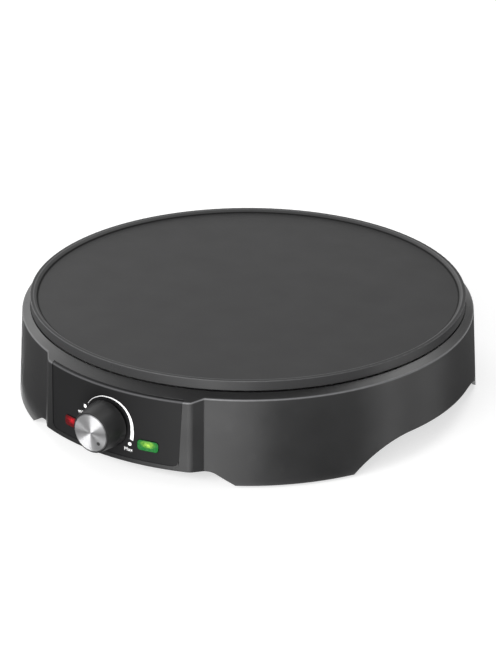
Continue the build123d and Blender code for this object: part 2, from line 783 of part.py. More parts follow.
def element_tabs():
    """Terminal pins with flat spade tabs."""
    tabs = []
    for side in (-1, 1):
        end = cold_end_bottom(side)
        pin = disc(tab_pin_r, -seal_height - tab_pin_length + spade_length / 2, -0.1)
        top = -seal_height - 1
        spade = slab(-spade_t / 2, spade_t / 2, -spade_width / 2, spade_width / 2, top - spade_length, top)
        tabs.append(Pos(end.X, end.Y, end.Z) * (pin + spade))
    return group(tabs)


def tab_connectors():
    """Push-on receptacles over the spade tabs."""
    parts = []
    for side in (-1, 1):
        end = cold_end_bottom(side)
        top = -seal_height - 3
        half_t, half_w = spade_t / 2 + flag_gap, spade_width / 2 + flag_gap
        bottom = top - spade_length + 1.5
        shell = slab(-half_t - flag_wall, half_t + flag_wall, -half_w - flag_wall, half_w + flag_wall, bottom, top)
        shell = fillet(shell.edges().filter_by(Axis.Z), 0.8)
        shell = shell - slab(-half_t, half_t, -half_w, half_w, bottom - BEHIND, top + BEHIND)
        shell = shell - Pos(0, 0, top) * Cylinder(tab_pin_r + flag_gap, 4)
        parts.append(Pos(end.X, end.Y, end.Z) * shell)
    return group(parts)


# ---------------------------------------------------------------- knob and thermostat
def knob_body():
    """Tapered knob shell with a hub that grips the shaft's flat."""
    rim = knob_reach - cap_stand
    seat = knob_reach - cap_t
    web = seat - knob_wall
    taper = (knob_base_r - knob_front_r) / (rim - knob_gap)
    outside = lathe([(0, knob_gap), (knob_base_r, knob_gap), (knob_front_r, rim), (0, rim)])
    outside = fillet(outside.edges().filter_by(GeomType.CIRCLE), 0.5)
    inside_r = knob_base_r - knob_wall
    hollow = lathe([(0, -BEHIND), (inside_r + taper, -BEHIND), (inside_r - taper * web, web), (0, web)])
    hub = disc(knob_hub_r, knob_hub_gap, web + INSIDE)
    bore = disc(shaft_r + shaft_gap, -BEHIND, shaft_in_knob + shaft_gap)
    flat = slab(shaft_flat + shaft_gap, 2 * shaft_r, -shaft_r, shaft_r, -BEHIND, shaft_in_knob + 2)
    slit = slab(shaft_flat + shaft_gap - INSIDE, shaft_flat + spring_t + 3 * shaft_gap, -spring_width / 2,
                spring_width / 2, -BEHIND, shaft_in_knob)
    recess = disc(cap_r + cap_gap, seat, knob_reach + BEHIND)
    shell = outside - hollow + hub - (bore - flat) - slit - recess
    return front_frame() * shell


def knob_cap():
    """Turned aluminium cap with a bevelled edge and the index mark."""
    seat = knob_reach - cap_t
    cap = lathe([(0, seat), (cap_r, seat), (cap_r, knob_reach - cap_bevel), (cap_r - cap_bevel, knob_reach),
                 (0, knob_reach)])
    a = math.radians(dot_clock)
    mark = Pos(dot_ring_r * math.sin(a), dot_ring_r * math.cos(a), 0) * disc(
        dot_r, knob_reach - dot_depth, knob_reach + BEHIND)
    return front_frame() * (cap - mark)


def knob_spring():
    """Leaf spring that loads the shaft's flat inside the hub."""
    x = shaft_flat + 2 * shaft_gap
    half = spring_width / 2 - shaft_gap
    leaf = slab(x, x + spring_t, -half, half, knob_hub_gap + 0.3, shaft_in_knob - 0.3)
    return front_frame() * leaf


def panel_depth():
    """From the fascia's face back to the bracket's rear face."""
    return panel_r - bracket_rear_y


def control_spindle():
    """Shaft from the knob to the thermostat, with its collar and screwed bore."""
    back = -panel_depth()
    shaft = disc(shaft_r, back - 0.6, shaft_in_knob - 0.2)
    flat = slab(shaft_flat, 2 * shaft_r, -2 * shaft_r, 2 * shaft_r, 0, 2 * shaft_in_knob)
    collar = disc(collar_r, back + collar_setback, back + collar_setback + collar_t)
    bore = disc(pin_r + run_gap, back - BEHIND, back + pin_screwed + 2)
    return front_frame() * (shaft - flat + collar - bore)


def thermostat_bush():
    """Bush that carries the spindle, with its rear flange against the bracket."""
    body = disc(bush_r, -bush_front, 0) + disc(bush_flange_r, 0, bush_flange_t)
    bore = disc(shaft_r + run_gap, -bush_front - BEHIND, bush_flange_t + BEHIND)
    counter = disc(bush_counter_r, -bush_counter_depth, bush_flange_t + BEHIND)
    return inward_frame() * (body - bore - counter)


def bush_end_plate():
    """Staked plate with the slot that keeps the adjusting pin from turning."""
    plate = disc(bush_counter_r - 0.03, bush_flange_t - end_plate_t, bush_flange_t)
    half = pin_flat / 2 + run_gap
    slot = slab(-half, half, -pin_r - run_gap, pin_r + run_gap, -BEHIND, bush_flange_t + BEHIND)
    return inward_frame() * (plate - slot)


def bush_nut():
    """Nut that clamps the bush to the bracket."""
    hexagon = extrude(RegularPolygon(nut_flats / math.sqrt(3), 6), nut_t)
    ring = Pos(0, 0, -bracket_t - nut_t) * hexagon - disc(bush_r + bush_gap, -bracket_t - nut_t - BEHIND, 0)
    return inward_frame() * ring


def adjusting_pin():
    """Pin that the spindle's screw drives along its axis onto the contact blade."""
    tip = blade_start() - blade_pin_gap
    rod = disc(pin_r, tip - pin_length, tip)
    flats = slab(-2 * pin_r, -pin_flat / 2, -2 * pin_r, 2 * pin_r, tip - pin_length + pin_screwed, tip + BEHIND)
    return inward_frame() * (rod - flats - Rot(0, 0, 180) * flats)


def blade_start():
    """Front face of the moving blade behind the bracket."""
    return bush_flange_t + 4.4


def fixed_start():
    """Front face of the fixed blade."""
    return blade_start() + blade_pitch


def bimetal_start():
    """Front face of the bimetal strip."""
    return fixed_start() + blade_t + bimetal_stand


def stack_hole(radius, start, thickness):
    """Clearance for the stack's rivet through one strip."""
    return Pos(stack_x, 0, 0) * disc(radius, start - BEHIND, start + thickness + BEHIND)


def to_world(shape):
    """From spindle coordinates (x right, y up, z to the back) to the plate's frame."""
    return mirror_x(shape)


def mirror_x(shape):
    """Turns spindle coordinates so that +x is the part's +X."""
    return inward_frame() * shape.mirror(Plane.YZ)


def moving_blade():
    """Spring blade that the adjusting pin presses, with its silver contact."""
    start = blade_start()
    strip = slab(-blade_tip, blade_hinge - hinge_slit, -blade_half, blade_half, start, start + blade_t)
    strip = fillet(strip.edges().filter_by(Axis.Z).group_by(Axis.X)[0], 1.5)
    head = blade_pitch - blade_t
    contact = Pos(-contact_x, 0, 0) * disc(contact_r, start + blade_t, start + blade_t + (head - contact_gap) / 2)
    return to_world(strip + contact)


def blade_terminal():
    """Clamped root of the moving blade with its soldering tab."""
    start = blade_start()
    root = slab(blade_hinge + hinge_slit, stack_x, -blade_half, blade_half, start, start + blade_t)
    root = root + Pos(stack_x, 0, 0) * disc(stack_r, start, start + blade_t)
    tab = slab(stack_x, tab_end, -tab_offset - tab_half, -tab_offset + tab_half, start, start + blade_t)
    return to_world(root + tab - stack_hole(blade_hole_r, start, blade_t))


def fixed_blade():
    """Second blade of the switch, with its contact and soldering tab."""
    start = fixed_start()
    strip = slab(-blade_tip, stack_x, -blade_half, blade_half, start, start + blade_t)
    strip = fillet(strip.edges().filter_by(Axis.Z).group_by(Axis.X)[0], 1.5)
    strip = strip + Pos(stack_x, 0, 0) * disc(stack_r, start, start + blade_t)
    tab = slab(stack_x, tab_end, tab_offset - tab_half, tab_offset + tab_half, start, start + blade_t)
    head = blade_pitch - blade_t
    contact = Pos(-contact_x, 0, 0) * disc(contact_r, start - (head - contact_gap) / 2, start)
    return to_world(strip + tab + contact - stack_hole(blade_hole_r, start, blade_t))


def bimetal_strip():
    """Bimetal that opens the contacts when the plate is hot."""
    start = bimetal_start()
    strip = slab(-bimetal_tip, stack_x, -bimetal_half, bimetal_half, start, start + bimetal_t)
    strip = fillet(strip.edges().filter_by(Axis.Z).group_by(Axis.X)[0], 2.0)
    strip = strip + Pos(stack_x, 0, 0) * disc(stack_r, start, start + bimetal_t)
    return to_world(strip - stack_hole(rivet_r + rivet_gap, start, bimetal_t))


def bimetal_rod():
    """Ceramic rod between the bimetal and the fixed blade."""
    return to_world(Pos(-contact_x, 0, 0) * disc(rod_r, fixed_start() + blade_t + rod_gap, bimetal_start()))


def stack_insulators():
    """Ceramic rings that hold the blades apart."""
    spans = [
        (0, blade_start()), (blade_start() + blade_t, fixed_start()), (fixed_start() + blade_t, bimetal_start()),
        (bimetal_start() + bimetal_t, bimetal_start() + bimetal_t + last_insulator),
    ]
    rings = []
    for low, high in spans:
        ring = disc(stack_r, low, high) - disc(rivet_r + rivet_gap, low - BEHIND, high + BEHIND)
        rings.append(to_world(Pos(stack_x, 0, 0) * ring))
    return group(rings)


def stack_rivet():
    """Rivet through the blades, insulators and bracket."""
    end = bimetal_start() + bimetal_t + last_insulator
    shank = disc(rivet_r, -bracket_t - INSIDE, end + INSIDE)
    rear = lathe([(0, end), (rivet_head_r, end), (rivet_head_r * 0.6, end + rivet_head_t), (0, end + rivet_head_t)])
    low = -bracket_t
    front = lathe([(0, low), (rivet_head_r, low), (rivet_head_r * 0.6, low - rivet_head_t), (0, low - rivet_head_t)])
    return to_world(Pos(stack_x, 0, 0) * (shank + rear + front))


def thermostat_bracket():
    """Bent steel bracket that hangs the thermostat from the plate."""
    top = boss_z - knob_z
    upright = slab(-bracket_left, bracket_right, -bracket_below, top, -bracket_t, 0)
    foot = slab(-bracket_left, bracket_right, top - bracket_t, top, -bracket_t, bracket_foot)
    bent = upright + foot
    outer = [e for e in bent.edges().filter_by(Axis.X)
             if abs(e.position_at(0.5).Y - top) < 0.01 and abs(e.position_at(0.5).Z + bracket_t) < 0.01]
    bent = fillet(outer, bracket_t * 1.5)
    bent = bent - disc(bush_r + bush_gap, -2 * bracket_t, bracket_t) - stack_hole(rivet_r + rivet_gap, -bracket_t, bracket_t)
    hole = Rot(90, 0, 0) * Cylinder(m4_clear_r, 4 * bracket_t)
    for x in bracket_screw_x:
        bent = bent - Pos(x, top, bracket_screw_back) * hole
    return to_world(bent)


def bracket_screws():
    """Two screws that hold the bracket to the plate's bosses."""
    seat = boss_z - bracket_t
    screw = Pos(0, 0, seat) * pan_screw(m4_r, bracket_t + m4_in_plate, m4_head_r, m4_head_h)
    return group([Pos(x, y, 0) * screw for x, y in bracket_screw_points()])


# ---------------------------------------------------------------- lamps
def indicator_lens(side):
    """Clear lens with ears behind the panel."""
    back = -panel_wall - lens_seat
    lens = rounded_bar(lens_width, lens_height, lens_corner_r, back, lens_proud)
    lens = fillet(lens.faces().sort_by(Axis.Z)[-1].edges(), 0.4)
    ears = rounded_bar(lens_width + 2 * lens_flange, lens_height, 0.4, back - lens_flange_t, back)
    return lens_frame(side) * (lens + ears)


def lamp_front():
    """Depth of the lamp holders' open face behind the panel."""
    return -panel_wall - lens_seat - lens_flange_t - lead_gap


def lamp_holders():
    """Moulded cups behind the lenses."""
    parts = []
    for side in (-1, 1):
        front = lamp_front()
        low_z = cover_top_z - lens_z + 0.6
        cup = slab(-holder_width / 2, holder_width / 2, low_z, low_z + holder_height, front - holder_depth, front)
        cup = fillet(cup.edges().filter_by(Axis.Z), 1.0)
        cup = cup - slab(-lens_width / 2, lens_width / 2, low_z + 1, low_z + holder_height - 1,
                         front - holder_depth + 2, front + BEHIND)
        parts.append(lens_frame(side) * cup)
    return group(parts)


def neon_lamps():
    """Glass neon lamps lying across the cups."""
    parts = []
    for side in (-1, 1):
        front = lamp_front()
        middle = front - 2 - neon_r
        tube = Rot(0, 90, 0) * Cylinder(neon_r, neon_length)
        tube = fillet(tube.edges().filter_by(GeomType.CIRCLE), neon_r * 0.8)
        parts.append(lens_frame(side) * (Pos(0, 0, middle) * tube))
    return group(parts)


# ---------------------------------------------------------------- fuse, terminals and leads
def fuse_z():
    """Height of the fuse's axis, against the plate."""
    return deck_under_z - fuse_r - lead_gap


def thermal_fuse():
    """One-shot fuse in its sleeve, against the plate."""
    tube = Rot(90, 0, 0) * Cylinder(fuse_r, fuse_length)
    return Pos(fuse_x, fuse_y, fuse_z()) * fillet(tube.edges().filter_by(GeomType.CIRCLE), 0.6)


def fuse_lead_in():
    """Point in the heat shield where the lead rises to the fuse."""
    return fuse_x, fuse_y - fuse_length / 2 - 20


def fuse_lead_out():
    """Point in the heat shield where the lead leaves the fuse."""
    return fuse_x, fuse_y + fuse_length / 2 + 20


def fuse_clip():
    """Strap that presses the fuse against the plate."""
    inner = fuse_r + lead_gap
    level = boss_z - fuse_z()
    half = clip_width / 2
    strap = disc(inner + clip_t, -half, half) & slab(-2 * inner, 2 * inner, -2 * inner, 0, -half, half)
    strap = strap - slab(0, 2 * inner, level, inner, -clip_width, clip_width)
    strap = strap + slab(-inner - clip_t, -inner, -INSIDE, clip_t, -half, half)
    strap = strap + slab(0, clip_tail + m4_head_r, level - clip_t, level, -half, half)
    strap = Rot(90, 0, 0) * (strap - disc(inner, -clip_width, clip_width))
    hole = Pos(clip_tail, 0, level) * Cylinder(m4_clear_r, 4 * clip_t)
    return Pos(fuse_x, fuse_y, fuse_z()) * (strap - hole)


def fuse_screw():
    """Screw that holds the fuse clip."""
    x, y = fuse_screw_point()
    return Pos(x, y, boss_z - clip_t) * pan_screw(m4_r, clip_t + m4_in_plate, m4_head_r, m4_head_h)


def pole_points():
    """X of the terminal block's three poles."""
    return [-pole_pitch, 0.0, pole_pitch]


def terminal_block():
    """Three-pole block on the base cover."""
    low = cover_top_z
    body = slab(-block_width / 2, block_width / 2, block_y - block_depth / 2, block_y + block_depth / 2,
                low, low + block_height)
    body = fillet(body.edges().filter_by(Axis.Z), 1.5)
    for x in pole_points()[:2]:
        groove = slab(x + pole_pitch / 2 - 0.8, x + pole_pitch / 2 + 0.8, block_y - block_depth, block_y + block_depth,
                      low + block_height - 3, low + block_height + BEHIND)
        body = body - groove
    for x in pole_points():
        tunnel = Rot(90, 0, 0) * Cylinder(pole_r + lead_gap, 2 * block_depth)
        body = body - Pos(x, block_y, low + pole_z) * tunnel
        for dy in (-pole_screw_spread, pole_screw_spread):
            body = body - Pos(x, block_y + dy, 0) * disc(pole_screw_r + 0.5, low + pole_z, low + block_height + BEHIND)
    return body


def terminal_sleeves():
    """Brass sleeves in the terminal block."""
    parts = []
    for x in pole_points():
        sleeve = Rot(90, 0, 0) * (Cylinder(pole_r, block_depth - 2) - Cylinder(pole_bore_r, block_depth))
        sleeve = Pos(x, block_y, cover_top_z + pole_z) * sleeve
        for dy in (-pole_screw_spread, pole_screw_spread):
            sleeve = sleeve - Pos(x, block_y + dy, cover_top_z + pole_z) * disc(pole_screw_r + 0.05, 0, 2 * pole_r)
        parts.append(sleeve)
    return group(parts)


def terminal_screws():
    """Clamping screws of the terminal block."""
    parts = []
    low = cover_top_z + pole_z + lead_r + lead_gap
    high = cover_top_z + block_height - 1.5
    for x in pole_points():
        for dy in (-pole_screw_spread, pole_screw_spread):
            screw = disc(pole_screw_r, low, high) - slab(-pole_screw_r, pole_screw_r, -0.3, 0.3, high - 0.8, high + 1)
            parts.append(Pos(x, block_y + dy, 0) * screw)
    return group(parts)


def earth_tag():
    """Ring tag that bonds the heat shield to earth."""
    top = post_top_z
    ring = disc(earth_tag_r, top - earth_tag_t, top)
    tail = slab(-earth_tag_r * 0.6, earth_tag_r * 0.6, 0, earth_tag_r * 2.2, top - earth_tag_t, top)
    return Pos(0, earth_y, 0) * (ring + tail - disc(m4_clear_r, top - 2 * BEHIND, top + BEHIND))


def earth_screw():
    """Screw that holds the earth tag to the shield."""
    return Pos(0, earth_y, post_top_z - earth_tag_t) * pan_screw(m4_r, 4.0, m4_head_r, m4_head_h)


def lead(points):
    """A round insulated lead along straight runs joined by arcs as large as the runs allow."""
    route = [Vector(*p) for p in points]
    radii = []
    for before, here, after in zip(route, route[1:], route[2:]):
        first, second = here - before, after - here
        half_turn = math.radians(first.get_angle(second)) / 2
        radii.append(0.45 * min(first.length, second.length) / math.tan(half_turn))
    path = FilletPolyline(*route, radius=radii)
    section = Plane(origin=route[0], z_dir=route[1] - route[0]) * Circle(lead_r)
    return sweep(section, path=path.wire())


def tab_point(start, offset):
    """Where a lead meets a soldering tab, in the plate's frame."""
    return tab_end + lead_gap, -bracket_rear_y + start + blade_t / 2, knob_z + offset


def pole_entry(x):
    """Where a lead ends inside a terminal sleeve."""
    return x, block_y - block_depth / 2 + pole_screw_spread, cover_top_z + pole_z


def connector_entry(side):
    """Where a lead meets a push-on connector."""
    end = cold_end_bottom(side)
    return end.X, end.Y - spade_width / 2 - flag_gap - flag_wall - lead_gap, end.Z - seal_height - 6


def way(start, end, share, aside, z):
    """A point part of the way between two plan points, moved aside, at a height."""
    x = start[0] + (end[0] - start[0]) * share + aside
    y = start[1] + (end[1] - start[1]) * share
    return x, y, z


def live_lead():
    """From the terminal block to the moving blade."""
    entry = pole_entry(pole_pitch)
    end = tab_point(blade_start(), -tab_offset)
    x, y, z = end
    return lead([
        entry, (entry[0], block_front_y - 12, entry[2]), way(entry, end, 0.19, 14, wiring_z - 6.4),
        way(entry, end, 0.35, 30.5, wiring_z - 2.4), way(entry, end, 0.53, 35.6, wiring_z),
        way(entry, end, 0.72, 30.7, wiring_z), way(entry, end, 0.88, 24.2, wiring_z - 3.4),
        (x + 22, y + 4, z + 0.6), (x + 13, y, z), end,
    ])


def switched_lead():
    """From the fixed blade up to the thermal fuse."""
    x, y, z = tab_point(fixed_start(), tab_offset)
    hole_x, hole_y = fuse_lead_in()
    return lead([
        (x, y, z), (x + 14, y, z), (x + 17, y + 12, z + 3), (x + 14, y + 28, z + 8),
        (hole_x, hole_y - 18, post_top_z - 6.2), (hole_x, hole_y, shield_top_z), (hole_x, hole_y + 10, fuse_z() - 1),
        (hole_x, fuse_y - fuse_length / 2 - 3 * lead_gap, fuse_z()),
    ])


def fuse_lead():
    """From the thermal fuse down to one end of the element."""
    x, y, z = connector_entry(1)
    hole_x, hole_y = fuse_lead_out()
    return lead([
        (hole_x, fuse_y + fuse_length / 2 + 3 * lead_gap, fuse_z()), (hole_x, hole_y - 10, fuse_z() - 1),
        (hole_x, hole_y, shield_top_z), (hole_x, hole_y + 18, post_top_z - 6.2), (x + 4, y - 24, z + 2),
        (x, y - 12, z), (x, y, z),
    ])


def neutral_lead():
    """From the terminal block to the other end of the element."""
    x, y, z = connector_entry(-1)
    entry = pole_entry(-pole_pitch)
    return lead([
        entry, (entry[0], block_front_y - 14, entry[2]), (entry[0] + 3, y - 11, entry[2] + 1),
        (entry[0] + 1, y - 27, wiring_z - 5.4), (x + 1, y - 29, wiring_z + 0.6), (x, y - 14, z), (x, y, z),
    ])


def earth_lead():
    """From the terminal block to the heat shield's tag."""
    entry = pole_entry(0)
    end_y = earth_y + earth_tag_r * 2.2 + lead_gap
    under_z = post_top_z - 1.5 * earth_tag_t - lead_r
    return lead([
        entry, (entry[0], block_front_y - 14, entry[2]), (entry[0], block_front_y - 28, wiring_z - 3.4),
        (entry[0], earth_y + 32, post_top_z - 8.2), (entry[0], earth_y + 22, under_z), (entry[0], end_y, under_z),
    ])


def lamp_lead():
    """Joins the two lamp holders below the spindle."""
    frame = lens_frame(1)
    back = lamp_front() - holder_depth - lead_gap
    start = (frame * Pos(0, 1, back)).position
    middle = (frame * Pos(0, 1, back - 8)).position
    return lead([
        tuple(start), tuple(middle), (9, start.Y + 9, start.Z - 1.5), (-9, start.Y + 9, start.Z - 1.4),
        (-middle.X, middle.Y, middle.Z), (-start.X, start.Y, start.Z),
    ])


def crimp_sleeves():
    """Crimped barrels where leads meet the tabs."""
    parts = []
    for start, offset in ((blade_start(), -tab_offset), (fixed_start(), tab_offset)):
        x, y, z = tab_point(start, offset)
        tube = Rot(0, 90, 0) * (Cylinder(crimp_r, crimp_length) - Cylinder(lead_r + lead_gap / 2, 2 * crimp_length))
        parts.append(Pos(x + crimp_length / 2 + 0.05, y, z) * tube)
    return group(parts)


def cord_gland():
    """Flanged grommet in the back of the skirt, with the cord's bore."""
    outer = skirt_r(gland_z) + gland_seat
    inner = skirt_r(gland_z) - wall - gland_seat - gland_flange_r ** 2 / (2 * skirt_r(gland_z))
    face = outer + gland_flange_t
    tail = inner - gland_flange_t - gland_tail
    points = [
        (gland_bore_r, tail), (gland_tail_r, tail), (gland_tail_r, inner - gland_flange_t),
        (gland_inner_r, inner - gland_flange_t), (gland_inner_r, inner), (gland_neck_r, inner),
        (gland_neck_r, outer), (gland_flange_r, outer), (gland_flange_r, face - 0.8),
        (gland_flange_r - 0.8, face), (gland_bore_r, face),
    ]
    turned = lathe(points)
    frame = Plane(origin=(0, 0, gland_z), x_dir=(-1, 0, 0), z_dir=(0, 1, 0)).location
    return frame * turned


# ---------------------------------------------------------------- write the parts
def build_parts():
    """Every node of the assembly, by name."""
    form = outer_form()
    return {
        "housing": housing(form),
        "control_fascia": control_fascia(form),
        "base_cover": base_cover(),
        "base_screws": base_screws(),
        "foot_pads": foot_pads(),
        "hot_plate": hot_plate(),
        "plate_spacers": plate_spacers(),
        "plate_screws": plate_screws(),
        "heat_shield": heat_shield(),
        "heating_element": heating_element(),
        "element_seals": element_seals(),
        "element_tabs": element_tabs(),
        "tab_connectors": tab_connectors(),
        "knob_body": knob_body(),
        "knob_cap": knob_cap(),
        "knob_spring": knob_spring(),
        "control_spindle": control_spindle(),
        "thermostat_bracket": thermostat_bracket(),
        "bracket_screws": bracket_screws(),
        "thermostat_bush": thermostat_bush(),
        "bush_end_plate": bush_end_plate(),
        "bush_nut": bush_nut(),
        "adjusting_pin": adjusting_pin(),
        "moving_blade": moving_blade(),
        "blade_terminal": blade_terminal(),
        "fixed_blade": fixed_blade(),
        "bimetal_strip": bimetal_strip(),
        "bimetal_rod": bimetal_rod(),
        "stack_insulators": stack_insulators(),
        "stack_rivet": stack_rivet(),
        "red_lens": indicator_lens(-1),
        "green_lens": indicator_lens(1),
        "lamp_holders": lamp_holders(),
        "neon_lamps": neon_lamps(),
        "thermal_fuse": thermal_fuse(),
        "fuse_clip": fuse_clip(),
        "fuse_screw": fuse_screw(),
        "terminal_block": terminal_block(),
        "terminal_sleeves": terminal_sleeves(),
        "terminal_screws": terminal_screws(),
        "earth_tag": earth_tag(),
        "earth_screw": earth_screw(),
        "live_lead": live_lead(),
        "switched_lead": switched_lead(),
        "fuse_lead": fuse_lead(),
        "neutral_lead": neutral_lead(),
        "earth_lead": earth_lead(),
        "lamp_lead": lamp_lead(),
        "crimp_sleeves": crimp_sleeves(),
        "cord_gland": cord_gland(),
    }


os.makedirs("parts", exist_ok=True)
for name, shape in build_parts().items():
    export_step(place(shape), f"parts/{name}.step")
    print(f"{name}: {len(shape.solids())} solid(s)")
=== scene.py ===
import logging
import math
from dataclasses import dataclass, replace
from enum import Enum

import bmesh
import bpy
from mathutils import Matrix, Vector


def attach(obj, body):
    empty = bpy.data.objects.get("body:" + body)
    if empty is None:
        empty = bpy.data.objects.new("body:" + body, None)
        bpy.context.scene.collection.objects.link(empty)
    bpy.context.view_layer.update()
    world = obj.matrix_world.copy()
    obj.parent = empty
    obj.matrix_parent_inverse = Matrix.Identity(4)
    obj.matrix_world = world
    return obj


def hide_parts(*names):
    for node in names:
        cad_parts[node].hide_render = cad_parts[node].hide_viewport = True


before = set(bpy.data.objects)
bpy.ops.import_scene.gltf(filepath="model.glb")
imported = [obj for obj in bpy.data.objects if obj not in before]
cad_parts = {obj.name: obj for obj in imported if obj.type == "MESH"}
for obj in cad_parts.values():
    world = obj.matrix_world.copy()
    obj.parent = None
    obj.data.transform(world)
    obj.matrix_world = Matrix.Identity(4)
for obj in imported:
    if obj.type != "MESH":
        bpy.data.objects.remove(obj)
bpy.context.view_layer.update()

log = logging.getLogger("crepe_maker")
MM = 0.001
Triple = tuple[float, float, float]
Socket = bpy.types.NodeSocket
ZEROS: Triple = (0.0, 0.0, 0.0)
ONES: Triple = (1.0, 1.0, 1.0)
QUARTER_TURN = math.radians(90.0)


# ---------------------------------------------------------------- node boards
class Lay(Enum):
    """Which way the grain of a rolled or drawn metal runs, as stretches along x, y and z."""

    ALONG_X = (0.05, 1.0, 1.0)
    ALONG_Y = (1.0, 0.05, 1.0)
    NONE = (1.0, 1.0, 1.0)


class NodeBoard:
    """A node tree with short ways to add its nodes and feed them."""

    def __init__(self, tree: bpy.types.NodeTree) -> None:
        """Takes over a tree and empties it."""
        self.tree = tree
        self.tree.nodes.clear()

    def node(self, kind: str, feeds: dict[str | int, object] | None = None,
             **settings: object) -> bpy.types.Node:
        """Adds a node.

        Args:
            kind: the node's type name.
            feeds: what its inputs get, by name or place.
            settings: properties of the node to set.

        Returns:
            The new node.
        """
        made = self.tree.nodes.new(kind)
        for key, value in settings.items():
            setattr(made, key, value)
        for key, value in (feeds or {}).items():
            self.feed(made.inputs[key], value)
        return made

    def feed(self, socket: Socket, value: object) -> None:
        """Links an input to another node, or sets it.

        Args:
            socket: the input.
            value: an output to link, or a number, a vector or a colour.
        """
        if isinstance(value, Socket):
            self.tree.links.new(value, socket)
        elif isinstance(value, tuple) and len(value) == 3 and len(socket.default_value) == 4:
            socket.default_value = (*value, 1.0)
        else:
            socket.default_value = value

    def maths(self, operation: str, first: object, second: object = 0.0) -> Socket:
        """The result of a Math node on two sockets or numbers."""
        return self.node("ShaderNodeMath", {0: first, 1: second}, operation=operation).outputs[0]


class FinishBoard(NodeBoard):
    """The board of one finish: a Principled shader, and patterns laid on the Object coordinates."""

    def __init__(self, name: str) -> None:
        """Starts a material.

        Args:
            name: the material's name.
        """
        self.material = bpy.data.materials.new(name)
        self.material.use_nodes = True
        super().__init__(self.material.node_tree)
        self.shader = self.node("ShaderNodeBsdfPrincipled")
        self.node("ShaderNodeOutputMaterial", {"Surface": self.shader.outputs["BSDF"]})
        self.coordinates = self.node("ShaderNodeTexCoord")
        self.place = self.coordinates.outputs["Object"]

    def set(self, **values: object) -> None:
        """Sets or links the shader's own sockets, named with underscores for spaces."""
        for key, value in values.items():
            self.feed(self.shader.inputs[key.replace("_", " ")], value)

    def vector(self, operation: str, first: object, second: object = ZEROS) -> Socket:
        """The vector from a Vector Math node on two sockets or vectors."""
        return self.node("ShaderNodeVectorMath", {0: first, 1: second}, operation=operation).outputs["Vector"]

    def length(self, vector: Socket) -> Socket:
        """The length of a vector."""
        return self.node("ShaderNodeVectorMath", {0: vector}, operation="LENGTH").outputs["Value"]

    def scaled(self, colour: object, factor: Socket) -> Socket:
        """A colour times a number."""
        maths = self.node("ShaderNodeVectorMath", {0: colour, "Scale": factor}, operation="SCALE")
        return maths.outputs["Vector"]

    def parts(self, vector: Socket) -> list[Socket]:
        """The x, y and z of a vector."""
        return list(self.node("ShaderNodeSeparateXYZ", {"Vector": vector}).outputs)

    def mapped(self, vector: Socket, stretch: Triple = ONES, turn: Triple = ZEROS) -> Socket:
        """A vector turned by so many radians and stretched."""
        mapping = self.node("ShaderNodeMapping", {"Vector": vector, "Rotation": turn, "Scale": stretch})
        return mapping.outputs["Vector"]

    def arm(self, axis_y: float) -> tuple[Socket, Socket]:
        """The place as it lies from an upright axis: the vector, and its level length."""
        arm = self.vector("SUBTRACT", self.place, (0.0, axis_y, 0.0))
        return arm, self.length(self.vector("MULTIPLY", arm, (1.0, 1.0, 0.0)))

    def noise(self, size_mm: float, detail: float = 3.0, roughness: float = 0.5,
              vector: Socket | None = None) -> Socket:
        """A noise of a given grain.

        Args:
            size_mm: size of its largest features, in millimetres.
            detail: number of octaves.
            roughness: weight of the finer octaves.
            vector: where it is read, or the Object coordinates.

        Returns:
            Its value, around a half.
        """
        feeds = {"Vector": vector or self.place, "Scale": 1.0 / (size_mm * MM), "Detail": detail,
                 "Roughness": roughness}
        return self.node("ShaderNodeTexNoise", feeds).outputs["Fac"]

    def cells(self, size_mm: float) -> bpy.types.Node:
        """A Voronoi texture with cells of a size in millimetres."""
        return self.node("ShaderNodeTexVoronoi", {"Vector": self.place, "Scale": 1.0 / (size_mm * MM)})

    def spread(self, value: Socket, low: float, high: float, start: float = 0.3, end: float = 0.7) -> Socket:
        """Spreads a value between two numbers, and holds it there.

        Args:
            value: the socket to read.
            low: result at start.
            high: result at end.
            start: value that gives low.
            end: value that gives high.

        Returns:
            The spread value.
        """
        feeds = {"Value": value, "From Min": start, "From Max": end, "To Min": low, "To Max": high}
        return self.node("ShaderNodeMapRange", feeds).outputs["Result"]

    def band(self, value: Socket, centre: float, half: float, soft: float) -> Socket:
        """One within half of the centre, falling to nothing over soft beyond it."""
        off = self.maths("ABSOLUTE", self.maths("SUBTRACT", value, centre))
        return self.spread(off, 1.0, 0.0, start=half, end=half + soft)

    def blend(self, share: Socket, first: object, second: object) -> Socket:
        """Two colours, blended by a share from 0 to 1."""
        mix = self.node("ShaderNodeMix", {"Factor": share, "A": first, "B": second}, data_type="RGBA")
        return mix.outputs[2]

    def shades(self, value: Socket, stops: tuple[tuple[float, Triple], ...]) -> Socket:
        """A colour ramp.

        Args:
            value: the socket that drives it.
            stops: positions and their colours.

        Returns:
            The colour.
        """
        ramp = self.node("ShaderNodeValToRGB", {"Fac": value})
        points = ramp.color_ramp.elements
        while len(points) < len(stops):
            points.new(0.5)
        for point, (position, colour) in zip(points, stops):
            point.position = position
            point.color = (*colour, 1.0)
        return ramp.outputs["Color"]

    def relief(self, height: Socket, depth_mm: float, under: Socket | None = None) -> Socket:
        """A bump of a true depth.

        Args:
            height: the pattern from 0 to 1.
            depth_mm: its depth in millimetres.
            under: a normal that it lies on.

        Returns:
            The normal.
        """
        feeds = {"Height": height, "Strength": 1.0, "Distance": depth_mm * MM}
        if under is not None:
            feeds["Normal"] = under
        return self.node("ShaderNodeBump", feeds).outputs["Normal"]


